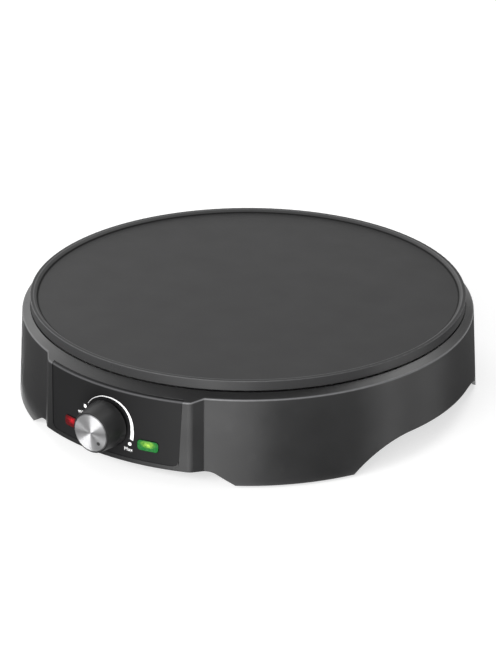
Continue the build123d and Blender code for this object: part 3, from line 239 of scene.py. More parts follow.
# ---------------------------------------------------------------- finishes
@dataclass(frozen=True)
class PaintedEdgeHighlight:
    """A painted highlight: a lighter line along the upper outer edge of a round form."""

    foot_radius: float
    top_z: float
    top_radius: float
    draft: float = 0.0
    fall: float = 0.0
    proud: float = 0.0
    ramp_start: float = math.radians(21.0)
    ramp_end: float = math.radians(24.0)
    width: float = 0.9 * MM
    axis_y: float = 9.2 * MM
    reach: float = 0.1

    def mask(self, board: FinishBoard) -> Socket:
        """A value that is 1 on the edge and 0 away from it.

        Args:
            board: the finish that it goes into.

        Returns:
            The value.
        """
        arm, radius = board.arm(self.axis_y)
        across, along, height = board.parts(arm)
        clock = board.maths("ARCTAN2", board.maths("ABSOLUTE", across), board.maths("MULTIPLY", along, -1.0))
        step = board.spread(clock, self.proud, 0.0, start=self.ramp_start, end=self.ramp_end)
        drafted = board.spread(height, self.foot_radius, self.foot_radius - self.reach * math.tan(self.draft),
                               start=0.0, end=self.reach)
        roof = board.spread(radius, self.top_z, self.top_z - self.reach * self.fall, start=self.top_radius,
                            end=self.top_radius + self.reach)
        wall = board.maths("ADD", step, drafted)
        inside = board.spread(board.maths("SUBTRACT", wall, radius), 1.0, 0.0, start=0.0, end=self.width)
        below = board.spread(board.maths("SUBTRACT", roof, height), 1.0, 0.0, start=0.0, end=self.width)
        return board.maths("MULTIPLY", inside, below)


@dataclass(frozen=True)
class Finish:
    """What a surface looks like. Each kind of finish paints its own board."""

    name: str

    def material(self) -> bpy.types.Material:
        """Builds the finish.

        Returns:
            Its material.
        """
        board = FinishBoard(self.name)
        self.paint(board)
        return board.material

    def paint(self, board: FinishBoard) -> None:
        """Lays the finish out on a board."""
        raise NotImplementedError(self.name)


@dataclass(frozen=True)
class MouldedPlastic(Finish):
    """A moulding: even colour with faint flow mottling, a fine grain and a few rubbed places."""

    colour: Triple
    roughness: float
    grain_mm: float = 0.35
    grain_depth_mm: float = 0.003
    ripple_mm: float = 14.0
    ripple_depth_mm: float = 0.012
    mottling: float = 0.08
    rub: float = 0.08
    specular: float = 0.5
    # An optional lighter line along the edge: a painted highlight in the base colour.
    edge: PaintedEdgeHighlight | None = None
    edge_highlight_colour: Triple = (0.14, 0.14, 0.145)
    flow_mm: float = 28.0
    rub_mm: float = 9.0

    def paint(self, board: FinishBoard) -> None:
        """Lays out the flow marks, the grain, the ripple, the rubbed places and any painted highlight along
        the edge.

        Args:
            board: the finish's board.
        """
        flow = board.noise(self.flow_mm, detail=2.0)
        fine = board.noise(self.grain_mm, detail=2.0)
        tone = board.maths("MULTIPLY", board.spread(flow, 1.0 - self.mottling, 1.0 + self.mottling),
                           board.spread(fine, 0.94, 1.06))
        colour = board.scaled(self.colour, tone)
        # Painted highlight: the base colour is lightened along the edge.
        if self.edge is not None:
            colour = board.blend(self.edge.mask(board), colour, self.edge_highlight_colour)
        matt = board.spread(flow, self.roughness - 0.02, self.roughness + 0.03)
        rubbed = board.noise(self.rub_mm, detail=6.0, roughness=0.62)
        worn = board.spread(rubbed, 0.0, 1.0, start=0.62, end=0.72)
        rippled = board.relief(board.noise(self.ripple_mm, detail=1.0), self.ripple_depth_mm)
        board.set(Base_Color=colour, Specular_IOR_Level=self.specular,
                  Roughness=board.maths("ADD", matt, board.maths("MULTIPLY", worn, self.rub)),
                  Normal=board.relief(fine, self.grain_depth_mm, rippled))


@dataclass(frozen=True)
class NonStick(Finish):
    """A sprayed non-stick coating on cast aluminium: matt, pebbled and faintly flecked."""

    name: str = "non_stick_coating"
    colour: Triple = (0.012, 0.012, 0.0123)
    roughness: float = 0.48
    specular: float = 0.22
    cloud_mm: float = 60.0
    matt_mm: float = 22.0
    fleck_mm: float = 0.55
    pebble_mm: float = 0.8
    pebble_depth_mm: float = 0.006
    # A painted highlight along the rim's outer edge, as a lighter line in the base colour.
    edge: PaintedEdgeHighlight = PaintedEdgeHighlight(foot_radius=150.0 * MM, top_z=71.8 * MM, top_radius=150.0 * MM,
                                  width=0.7 * MM)
    edge_highlight_colour: Triple = (0.09, 0.09, 0.092)
    # The outer wall is wiped smoother in its roughness, and painted lighter in its colour as a painted sheen.
    wiped_and_sheen_depth: tuple[float, float] = (0.5 * MM, 0.2 * MM)
    wall_sheen_colour: Triple = (0.027, 0.027, 0.0275)
    wiping: float = 0.20
    slope: tuple[float, float] = (144.4 * MM, 147.4 * MM)
    slope_inset: float = 0.4 * MM
    # Painted light: the slope is lighter than the deck, and the crest above it carries a lighter painted
    # highlight.
    slope_highlight_colour: Triple = (0.042, 0.042, 0.0425)
    crest_highlight_colour: Triple = (0.080, 0.080, 0.0815)
    line_half: float = 0.2 * MM
    soft: float = 0.5 * MM
    crease_up: float = 0.6 * MM
    crease_soft: float = 0.7 * MM
    # Painted shade: a dark line in the crease near the slope's foot. The roughness there is raised too.
    crease_shade_colour: Triple = (0.002, 0.002, 0.002)
    crease_matt: float = 0.4

    def paint(self, board: FinishBoard) -> None:
        """Lays out the coat, then the rim's marks from the outside in: the painted highlight on its outer
        edge, the wall's painted sheen over its wiped smoothness, the painted highlight on the crest, the
        painted light on the slope and the painted shade in the crease near the slope's foot.

        Args:
            board: the finish's board.
        """
        cloud = board.spread(board.noise(self.cloud_mm), 0.95, 1.05)
        fleck = board.spread(board.cells(self.fleck_mm).outputs["Distance"], 1.35, 0.97, start=0.05, end=0.28)
        coat = board.scaled(self.colour, board.maths("MULTIPLY", cloud, fleck))
        reach = board.arm(self.edge.axis_y)[1]
        inner, outer = (self.edge.foot_radius - depth for depth in self.wiped_and_sheen_depth)
        # Mask of the outer wall: painted sheen in the colour, wiped smoothness in the roughness.
        wiped_and_sheen = board.spread(reach, 0.0, 1.0, start=inner, end=outer)
        foot, crest = self.slope
        slope = board.band(reach, (foot + crest) / 2, (crest - foot) / 2 - self.slope_inset, self.soft)
        crease = board.band(reach, foot + self.crease_up, self.line_half, self.crease_soft)
        # Blends in the painted sheen on the wall, the painted light on the slope, the painted highlight on
        # the crest, the painted shade in the crease and the painted highlight on the outer edge.
        for share, colour in ((wiped_and_sheen, self.wall_sheen_colour), (slope, self.slope_highlight_colour),
                              (board.band(reach, crest, self.line_half, self.soft), self.crest_highlight_colour),
                              (crease, self.crease_shade_colour), (self.edge.mask(board), self.edge_highlight_colour)):
            coat = board.blend(share, coat, colour)
        patchy = board.noise(self.matt_mm, detail=4.0)
        matt = board.spread(patchy, self.roughness - 0.01, self.roughness + 0.025)
        polished = board.maths("SUBTRACT", matt, board.maths("MULTIPLY", wiped_and_sheen, self.wiping))
        board.set(Base_Color=coat, Specular_IOR_Level=self.specular,
                  Roughness=board.maths("ADD", polished, board.maths("MULTIPLY", crease, self.crease_matt)),
                  Normal=board.relief(board.noise(self.pebble_mm, roughness=0.6), self.pebble_depth_mm))


@dataclass(frozen=True)
class TurnedMetal(Finish):
    """Face-turned metal: fine rings round an axis along y, whose gloss fans out in bright wedges."""

    colour: Triple
    centre: Triple
    rim: float
    roughness: float = 0.50
    anisotropy: float = 1.0
    ring_mm: float = 0.16
    ring_depth_mm: float = 0.0008
    smear_mm: float = 2.5
    chamfer: tuple[float, float] = (0.7 * MM, 0.4 * MM)
    # Painted shade: the chamfer's colour is darkened to this share.
    chamfer_painted_shade: float = 0.4

    def paint(self, board: FinishBoard) -> None:
        """Lays out the rings, the painted shade that darkens the chamfer and the direction that the gloss is
        drawn in.

        Args:
            board: the finish's board.
        """
        flat = board.vector("MULTIPLY", board.vector("SUBTRACT", board.place, self.centre), (1.0, 0.0, 1.0))
        radius = board.length(flat)
        outward = board.node("ShaderNodeVectorTransform", {"Vector": board.vector("NORMALIZE", flat)},
                             vector_type="VECTOR", convert_from="OBJECT", convert_to="WORLD")
        along = board.maths("MULTIPLY", radius, 1.0 / (self.ring_mm * MM))
        ring = board.node("ShaderNodeTexNoise", {"W": along, "Scale": 1.0, "Detail": 2.0},
                          noise_dimensions="1D").outputs["Fac"]
        inner, outer = (self.rim - depth for depth in self.chamfer)
        tone = board.maths("MULTIPLY", board.spread(ring, 0.93, 1.05),
                           board.spread(radius, 1.0, self.chamfer_painted_shade, start=inner, end=outer))
        smear = board.noise(self.smear_mm, detail=4.0)
        board.set(Base_Color=board.scaled(self.colour, tone), Metallic=1.0, Anisotropic=self.anisotropy,
                  Roughness=board.spread(smear, self.roughness - 0.02, self.roughness + 0.03),
                  Tangent=outward.outputs["Vector"], Normal=board.relief(ring, self.ring_depth_mm))


@dataclass(frozen=True)
class WorkedMetal(Finish):
    """Plated, rolled or drawn metal with its grain and faint stains."""

    colour: Triple
    stain: Triple
    roughness: float = 0.35
    lay: Lay = Lay.NONE
    grain_mm: float = 0.25
    grain_depth_mm: float = 0.002
    stain_mm: float = 7.0
    stain_share: float = 0.35
    stain_matt: float = 0.25

    def paint(self, board: FinishBoard) -> None:
        """Lays out the grain and the stains.

        Args:
            board: the finish's board.
        """
        drawn = board.mapped(board.place, self.lay.value)
        grain = board.noise(self.grain_mm, roughness=0.55, vector=drawn)
        blotch = board.noise(self.stain_mm, detail=5.0, roughness=0.6)
        patch = board.spread(blotch, 0.0, self.stain_share, start=0.4, end=0.7)
        stained = board.blend(patch, self.colour, self.stain)
        matt = board.spread(grain, self.roughness - 0.05, self.roughness + 0.05)
        board.set(Base_Color=board.scaled(stained, board.spread(grain, 0.92, 1.06)), Metallic=1.0,
                  Roughness=board.maths("ADD", matt, board.maths("MULTIPLY", patch, self.stain_matt)),
                  Normal=board.relief(grain, self.grain_depth_mm))


@dataclass(frozen=True)
class HeatTint(Finish):
    """Stainless tube blued and browned by its own heat."""

    name: str = "heat_tinted_sheath"
    roughness: float = 0.42
    tints: tuple[tuple[float, Triple], ...] = (
        (0.30, (0.16, 0.15, 0.15)), (0.42, (0.30, 0.24, 0.17)), (0.52, (0.40, 0.36, 0.31)),
        (0.62, (0.24, 0.22, 0.26)), (0.74, (0.33, 0.27, 0.20)))
    tint_mm: float = 18.0
    scale_mm: float = 0.5
    scale_depth_mm: float = 0.004

    def paint(self, board: FinishBoard) -> None:
        """Lays out the tints and the fine scale.

        Args:
            board: the finish's board.
        """
        scale = board.noise(self.scale_mm, detail=4.0, roughness=0.6)
        tint = board.noise(self.tint_mm, detail=4.0, roughness=0.6)
        board.set(Base_Color=board.shades(tint, self.tints), Metallic=1.0,
                  Roughness=board.spread(scale, self.roughness - 0.08, self.roughness + 0.1),
                  Normal=board.relief(scale, self.scale_depth_mm))


@dataclass(frozen=True)
class SoftInsulation(Finish):
    """Rubber, silicone or PVC: matt with a talc bloom, a faint drag grain and an optional stripe."""

    colour: Triple
    roughness: float = 0.6
    bloom: float = 0.12
    bloom_mm: float = 6.0
    bloom_factor: float = 1.6
    grain_mm: float = 0.5
    grain_depth_mm: float = 0.01
    stripe: Triple | None = None
    specular: float = 0.35

    def paint(self, board: FinishBoard) -> None:
        """Lays out the stripe, the bloom and the grain.

        Args:
            board: the finish's board.
        """
        grain = board.noise(self.grain_mm, detail=4.0, roughness=0.6)
        patch = board.spread(board.noise(self.bloom_mm, detail=4.0), 0.0, self.bloom, start=0.35, end=0.75)
        ground: object = self.colour
        if self.stripe is not None:
            upward = board.parts(board.coordinates.outputs["Normal"])[2]
            side = board.spread(upward, 0.0, 1.0, start=0.05, end=0.15)
            ground = board.blend(side, self.colour, self.stripe)
        pale = tuple(min(1.0, channel * self.bloom_factor) for channel in self.colour)
        board.set(Base_Color=board.scaled(board.blend(patch, ground, pale), board.spread(grain, 0.93, 1.07)),
                  Roughness=board.spread(grain, self.roughness - 0.06, self.roughness + 0.08),
                  Specular_IOR_Level=self.specular, Normal=board.relief(grain, self.grain_depth_mm))


@dataclass(frozen=True)
class Ceramic(Finish):
    """Unglazed pressed ceramic, or a powder filler: matt, speckled and slightly pitted."""

    colour: Triple
    speck: Triple = (0.45, 0.40, 0.33)
    speck_mm: float = 0.4
    roughness: float = 0.75
    matt_mm: float = 3.0
    specular: float = 0.3
    pit_mm: float = 0.7
    pit_depth_mm: float = 0.012

    def paint(self, board: FinishBoard) -> None:
        """Lays out the specks and the pits.

        Args:
            board: the finish's board.
        """
        specks = board.spread(board.noise(self.speck_mm), 0.0, 0.6, start=0.62, end=0.74)
        matt = board.spread(board.noise(self.matt_mm), self.roughness - 0.08, self.roughness + 0.08)
        board.set(Base_Color=board.blend(specks, self.colour, self.speck), Specular_IOR_Level=self.specular,
                  Roughness=matt,
                  Normal=board.relief(board.cells(self.pit_mm).outputs["Distance"], self.pit_depth_mm))


@dataclass(frozen=True)
class WovenSleeve(Finish):
    """A woven glass sleeve: two crossing sets of fine strands."""

    name: str = "woven_glass_sleeve"
    colour: Triple = (0.80, 0.74, 0.60)
    slant: float = 0.8
    strands: float = 550.0
    wander: float = 0.6
    depth_mm: float = 0.05

    def paint(self, board: FinishBoard) -> None:
        """Lays the two sets of strands across each other.

        Args:
            board: the finish's board.
        """
        ways = []
        for turn in (self.slant, -self.slant):
            slanted = board.mapped(board.place, turn=(turn, turn, 0.0))
            feeds = {"Vector": slanted, "Scale": self.strands, "Distortion": self.wander}
            ways.append(board.node("ShaderNodeTexWave", feeds, wave_profile="SIN").outputs["Fac"])
        weave = board.maths("MAXIMUM", *ways)
        board.set(Base_Color=board.scaled(self.colour, board.spread(weave, 0.55, 1.1, start=0.2, end=1.0)),
                  Roughness=board.spread(weave, 0.8, 0.55, start=0.2, end=1.0),
                  Normal=board.relief(weave, self.depth_mm))


@dataclass(frozen=True)
class LampGlass(Finish):
    """The neon lamp's glass, smoky in places, with its warm glow inside."""

    name: str = "neon_glass"
    colour: Triple = (0.92, 0.88, 0.82)
    glow: Triple = (1.0, 0.35, 0.08)
    glow_level: float = 0.2
    smoke_mm: float = 3.0
    smear_mm: float = 1.5

    def paint(self, board: FinishBoard) -> None:
        """Lays out the smoke and the glow.

        Args:
            board: the finish's board.
        """
        smoke = board.spread(board.noise(self.smoke_mm, detail=4.0), 0.55, 1.0)
        board.set(Base_Color=board.scaled(self.colour, smoke), Transmission_Weight=0.7, IOR=1.5,
                  Roughness=board.spread(board.noise(self.smear_mm), 0.04, 0.12), Emission_Color=self.glow,
                  Emission_Strength=self.glow_level)


@dataclass(frozen=True)
class LensPlastic(Finish):
    """Clear coloured plastic over small prisms, lit or unlit from behind, with a painted glow standing in for
    the lamp's light and painted shade along its edge.
    """

    colour: Triple
    # The heart colour and the glow strength paint in the lamp's light as emission from the lens itself.
    painted_glow_colour: Triple
    glow: float
    middle: Triple
    turn: float
    cell_mm: float = 1.5
    prism_depth_mm: float = 0.10
    specular: float = 0.25
    painted_glow_half: tuple[float, float] = (7.2 * MM, 3.2 * MM)
    painted_glow_up: float = 0.30
    # The unshaded middle, and the ramp over which painted shade darkens the lens towards its edge.
    unshaded_half: tuple[float, float] = (5.2 * MM, 1.3 * MM)
    edge_shade_ramp: tuple[float, float] = (1.95 * MM, 2.25 * MM)

    def paint(self, board: FinishBoard) -> None:
        """Lays out the painted glow, brightest in the heart and varied from prism to prism, the painted shade
        along the edge and the prisms' own roughness.

        Args:
            board: the finish's board.
        """
        centred = board.vector("SUBTRACT", board.place, self.middle)
        laid = board.mapped(centred, turn=(0.0, 0.0, -self.turn))
        half_x, half_z = self.painted_glow_half
        wide = board.vector("MULTIPLY", laid, (1.0 / half_x, 0.0, 1.0 / half_z))
        edge = board.length(board.vector("SUBTRACT", wide, (0.0, 0.0, self.painted_glow_up)))
        cell = board.cells(self.cell_mm)
        own = board.node("ShaderNodeSeparateColor", {"Color": cell.outputs["Color"]}).outputs
        # Painted glow: brightest in the heart, which sits a little high, and varied from prism to prism.
        painted_glow = board.maths("MULTIPLY", board.spread(edge, 1.0, 0.0, start=0.05, end=0.85),
                          board.spread(own[0], 0.25, 1.25, start=0.0, end=1.0))
        side = board.vector("ABSOLUTE", board.vector("MULTIPLY", laid, (1.0, 0.0, 1.0)))
        half_x, half_z = self.unshaded_half
        past = board.vector("MAXIMUM", board.vector("SUBTRACT", side, (half_x, 0.0, half_z)))
        # Painted shade along the lens's edge, blending its colour towards black.
        painted_edge_shade = board.spread(board.length(past), 0.0, 0.85, *self.edge_shade_ramp)
        colour = board.blend(painted_edge_shade, board.blend(painted_glow, self.colour, self.painted_glow_colour), ZEROS)
        board.set(Base_Color=colour, Roughness=board.spread(own[1], 0.10, 0.3, start=0.0, end=1.0),
                  Specular_IOR_Level=self.specular, Emission_Color=colour, Emission_Strength=self.glow,
                  Normal=board.relief(cell.outputs["Distance"], self.prism_depth_mm))


@dataclass(frozen=True)
class PrintInk(Finish):
    """Pad-printed ink: even, slightly chalky, with soft pinholes."""

    colour: Triple
    chalk_mm: float = 0.3
    sheen_mm: float = 0.6
    pinhole_mm: float = 0.2
    pinhole_depth_mm: float = 0.003

    def paint(self, board: FinishBoard) -> None:
        """Lays out the chalk and the pinholes.

        Args:
            board: the finish's board.
        """
        board.set(Base_Color=board.scaled(self.colour, board.spread(board.noise(self.chalk_mm), 0.9, 1.02)),
                  Roughness=board.spread(board.noise(self.sheen_mm, detail=2.0), 0.42, 0.58),
                  Normal=board.relief(board.noise(self.pinhole_mm, detail=2.0), self.pinhole_depth_mm))


# ---------------------------------------------------------------- pieces
def thicken(shape: bmesh.types.BMesh) -> list[bmesh.types.BMVert]:
    """Doubles a flat figure into an underside and a top.

    Args:
        shape: the figure.

    Returns:
        The top's corners, still in place.
    """
    raised = bmesh.ops.extrude_face_region(shape, geom=shape.faces[:], use_keep_orig=True)["geom"]
    return [item for item in raised if isinstance(item, bmesh.types.BMVert)]


def placed(shape: bmesh.types.BMesh, name: str, material: bpy.types.Material) -> bpy.types.Object:
    """Turns a bmesh into a flat-shaded object in the scene.

    Args:
        shape: the mesh, in metres and in place. It is freed.
        name: the object's name.
        material: its material.

    Returns:
        The object.
    """
    mesh = bpy.data.meshes.new(name)
    shape.to_mesh(mesh)
    shape.free()
    mesh.shade_flat()
    mesh.materials.append(material)
    thing = bpy.data.objects.new(name, mesh)
    bpy.context.collection.objects.link(thing)
    return thing


def finished(shape: bmesh.types.BMesh, name: str, finish: Finish,
             body: str = "base") -> bpy.types.Object:
    """Turns a bmesh into a piece that rides on a body.

    Args:
        shape: the mesh, in metres and in place. It is freed.
        name: the piece's name.
        finish: the finish that it gets.
        body: the body that it rides on.

    Returns:
        The piece.
    """
    piece = placed(shape, name, finish.material())
    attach(piece, body)
    log.info("%s: %d faces, %s", name, len(piece.data.polygons), finish.name)
    return piece


def dress(finish: Finish, *nodes: str) -> None:
    """Gives CAD nodes a finish in each of their material slots.

    Args:
        finish: the finish that they get.
        nodes: the nodes' names.
    """
    material = finish.material()
    for name in nodes:
        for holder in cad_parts[name].material_slots:
            holder.material = material
        log.info("%s: %s", name, finish.name)


@dataclass(frozen=True)
class PanelFace:
    """The control panel's face: a drafted cylinder about the hot plate's axis."""

    axis_y: float = 9.6 * MM
    foot_radius: float = 163.35 * MM
    foot_z: float = 1.9 * MM
    draft: float = math.radians(3.5)

    def radius(self, z: float) -> float:
        """The face's radius at a height."""
        return self.foot_radius - (z - self.foot_z) * math.tan(self.draft)

    def point(self, x: float, z: float, lift: float) -> Vector:
        """The point in front of the face at x and z, lifted off it by so much."""
        return Vector((x, self.axis_y - math.sqrt((self.radius(z) + lift) ** 2 - x * x), z))

    def lay_on(self, shape: bmesh.types.BMesh, low: float, high: float) -> None:
        """Lays a flat figure, drawn in x and z, on the face and gives it a thickness.

        Args:
            shape: the figure's faces.
            low: its underside, in front of the face.
            high: its top.
        """
        top = set(thicken(shape))
        for corner in shape.verts:
            corner.co = self.point(corner.co.x, corner.co.z, high if corner in top else low)
        bmesh.ops.recalc_face_normals(shape, faces=shape.faces[:])


# ---------------------------------------------------------------- housing
BLACK_RESIN: Triple = (0.0095, 0.0095, 0.0098)
# The painted highlight line along the housing's upper outer edge.
CREST_HIGHLIGHT = PaintedEdgeHighlight(foot_radius=159.466 * MM, top_z=64.1 * MM, top_radius=150.3 * MM, draft=math.radians(3.5),
                   fall=math.tan(math.radians(29.0)), proud=4.0 * MM)


@dataclass
class Housing:
    """The moulded base, its glossier control panel, base cover, feet and screws."""

    panel_face: PanelFace
    lip_half: float = 50.89 * MM
    lip_spread: float = 0.2 * MM
    lip_low: float = 11.75 * MM
    lip_high: float = 13.9 * MM
    lip_corner: float = 4.0 * MM
    lip_sunk: float = 0.01 * MM
    lip_proud: float = 0.37 * MM
    corner_steps: int = 10
    half_steps: int = 24
    satin: MouldedPlastic = MouldedPlastic("housing_satin_black", BLACK_RESIN, 0.35, edge=CREST_HIGHLIGHT)
    # The panel's top edge gets the same painted highlight, a little wider.
    panel: MouldedPlastic = MouldedPlastic(
        "panel_black", BLACK_RESIN, 0.43, ripple_depth_mm=0.004, mottling=0.04, specular=0.10,
        edge=replace(CREST_HIGHLIGHT, width=1.3 * MM))
    spark: MouldedPlastic = MouldedPlastic(
        "cover_spark_black", (0.034, 0.034, 0.036), 0.55, grain_mm=0.8, grain_depth_mm=0.03)

    def lip_row(self, half: float, low: float) -> list[tuple[float, float]]:
        """One edge of the lip, from corner to corner.

        Args:
            half: half its length.
            low: the height of its straight stretch.

        Returns:
            Its points in x and z.
        """
        turns = [QUARTER_TURN * step / self.corner_steps for step in range(self.corner_steps + 1)]
        corner = [(half - self.lip_corner * (1.0 - math.sin(turn)),
                   low + self.lip_corner * (1.0 - math.cos(turn))) for turn in turns]
        straight = [((half - self.lip_corner) * step / self.half_steps, low)
                    for step in range(1 - self.half_steps, self.half_steps)]
        return [(-x, z) for x, z in reversed(corner)] + straight + corner

    def lip(self) -> bpy.types.Object:
        """Makes the moulding's lip along the panel's lower edge and round its lower corners.

        Returns:
            The piece.
        """
        shape = bmesh.new()
        seam = []
        for half, low in ((self.lip_half + self.lip_spread, self.lip_low), (self.lip_half, self.lip_high)):
            row = [shape.verts.new((x, 0.0, z)) for x, z in self.lip_row(half, low)]
            seam += [shape.edges.new(pair) for pair in zip(row, row[1:])]
        bmesh.ops.bridge_loops(shape, edges=seam)
        self.panel_face.lay_on(shape, self.lip_sunk, self.lip_proud)
        return finished(shape, "panel_lip", self.satin)

    def build(self) -> None:
        """Makes the lip and dresses the mouldings, feet and screws."""
        self.lip()
        dress(self.satin, "housing")
        dress(self.panel, "control_fascia")
        dress(self.spark, "base_cover")
        dress(SoftInsulation("foot_rubber", (0.028, 0.028, 0.028), 0.72, grain_depth_mm=0.03), "foot_pads")
        dress(SoftInsulation("gland_rubber", (0.025, 0.025, 0.026), 0.55), "cord_gland")
        dress(WorkedMetal("blackened_screws", (0.16, 0.16, 0.17), (0.08, 0.08, 0.08), 0.4), "base_screws")


# ---------------------------------------------------------------- hot plate
@dataclass
class HotPlate:
    """The coated plate with its element, supports and heat shield."""

    coating: NonStick = NonStick()

    def build(self) -> None:
        """Dresses the plate and what hangs under it."""
        dress(self.coating, "hot_plate")
        dress(HeatTint(), "heating_element")
        dress(WorkedMetal("rolled_shield_sheet", (0.70, 0.71, 0.71), (0.45, 0.42, 0.38), 0.38, Lay.ALONG_X),
              "heat_shield")
        dress(Ceramic("seal_ceramic", (0.74, 0.60, 0.48)), "element_seals")
        dress(Ceramic("spacer_steatite", (0.86, 0.84, 0.79)), "plate_spacers")
        dress(WorkedMetal("zinc_plate", (0.62, 0.62, 0.60), (0.50, 0.47, 0.36), 0.33), "plate_screws",
              "element_tabs")
        dress(WorkedMetal("tinned_brass", (0.72, 0.69, 0.58), (0.5, 0.42, 0.25), 0.34), "tab_connectors")


# ---------------------------------------------------------------- knob
@dataclass
class Knob:
    """The control knob: moulded skirt, turned cap and the index mark in its dimple."""

    centre_z: float = 34.1 * MM
    cap_face_y: float = -169.98 * MM
    cap_radius: float = 12.95 * MM
    dot_radius: float = 1.45 * MM
    dot_border: float = 0.2 * MM
    dot_thickness: float = 0.06 * MM
    dot_ring: float = 8.5 * MM
    dot_clock: float = math.radians(134.0)
    dot_sunk: float = 0.12 * MM
    dot_ink: PrintInk = PrintInk("index_black", (0.012, 0.012, 0.012))

    def index_dot(self) -> bpy.types.Object:
        """Makes the painted disc at the bottom of the cap's dimple.

        Returns:
            The piece.
        """
        shape = bmesh.new()
        bmesh.ops.create_circle(shape, cap_ends=True, segments=32, radius=self.dot_radius)
        bmesh.ops.inset_region(shape, faces=shape.faces[:], thickness=self.dot_border)
        bmesh.ops.translate(shape, verts=thicken(shape), vec=(0.0, 0.0, self.dot_thickness))
        bmesh.ops.recalc_face_normals(shape, faces=shape.faces[:])
        place = Matrix.Translation((self.dot_ring * math.sin(self.dot_clock), self.cap_face_y + self.dot_sunk,
                                    self.centre_z + self.dot_ring * math.cos(self.dot_clock)))
        bmesh.ops.transform(shape, matrix=place @ Matrix.Rotation(QUARTER_TURN, 4, "X"), verts=shape.verts)
        return finished(shape, "index_dot", self.dot_ink, "knob")

    def build(self) -> None:
        """Dresses the knob's nodes and adds the index mark."""
        dress(MouldedPlastic("knob_satin_black", (0.0055, 0.0055, 0.0058), 0.48, grain_mm=0.25,
                             grain_depth_mm=0.0015, ripple_mm=8.0, ripple_depth_mm=0.003, mottling=0.05,
                             specular=0.42), "knob_body")
        dress(TurnedMetal("turned_aluminium", (0.70, 0.70, 0.71), (0.0, 0.0, self.centre_z), self.cap_radius),
              "knob_cap")
        dress(WorkedMetal("spring_steel", (0.45, 0.45, 0.46), (0.2, 0.18, 0.2), 0.3), "knob_spring")
        dress(WorkedMetal("turned_brass", (0.78, 0.62, 0.32), (0.5, 0.35, 0.15), 0.28), "control_spindle",
              "adjusting_pin")
        self.index_dot()


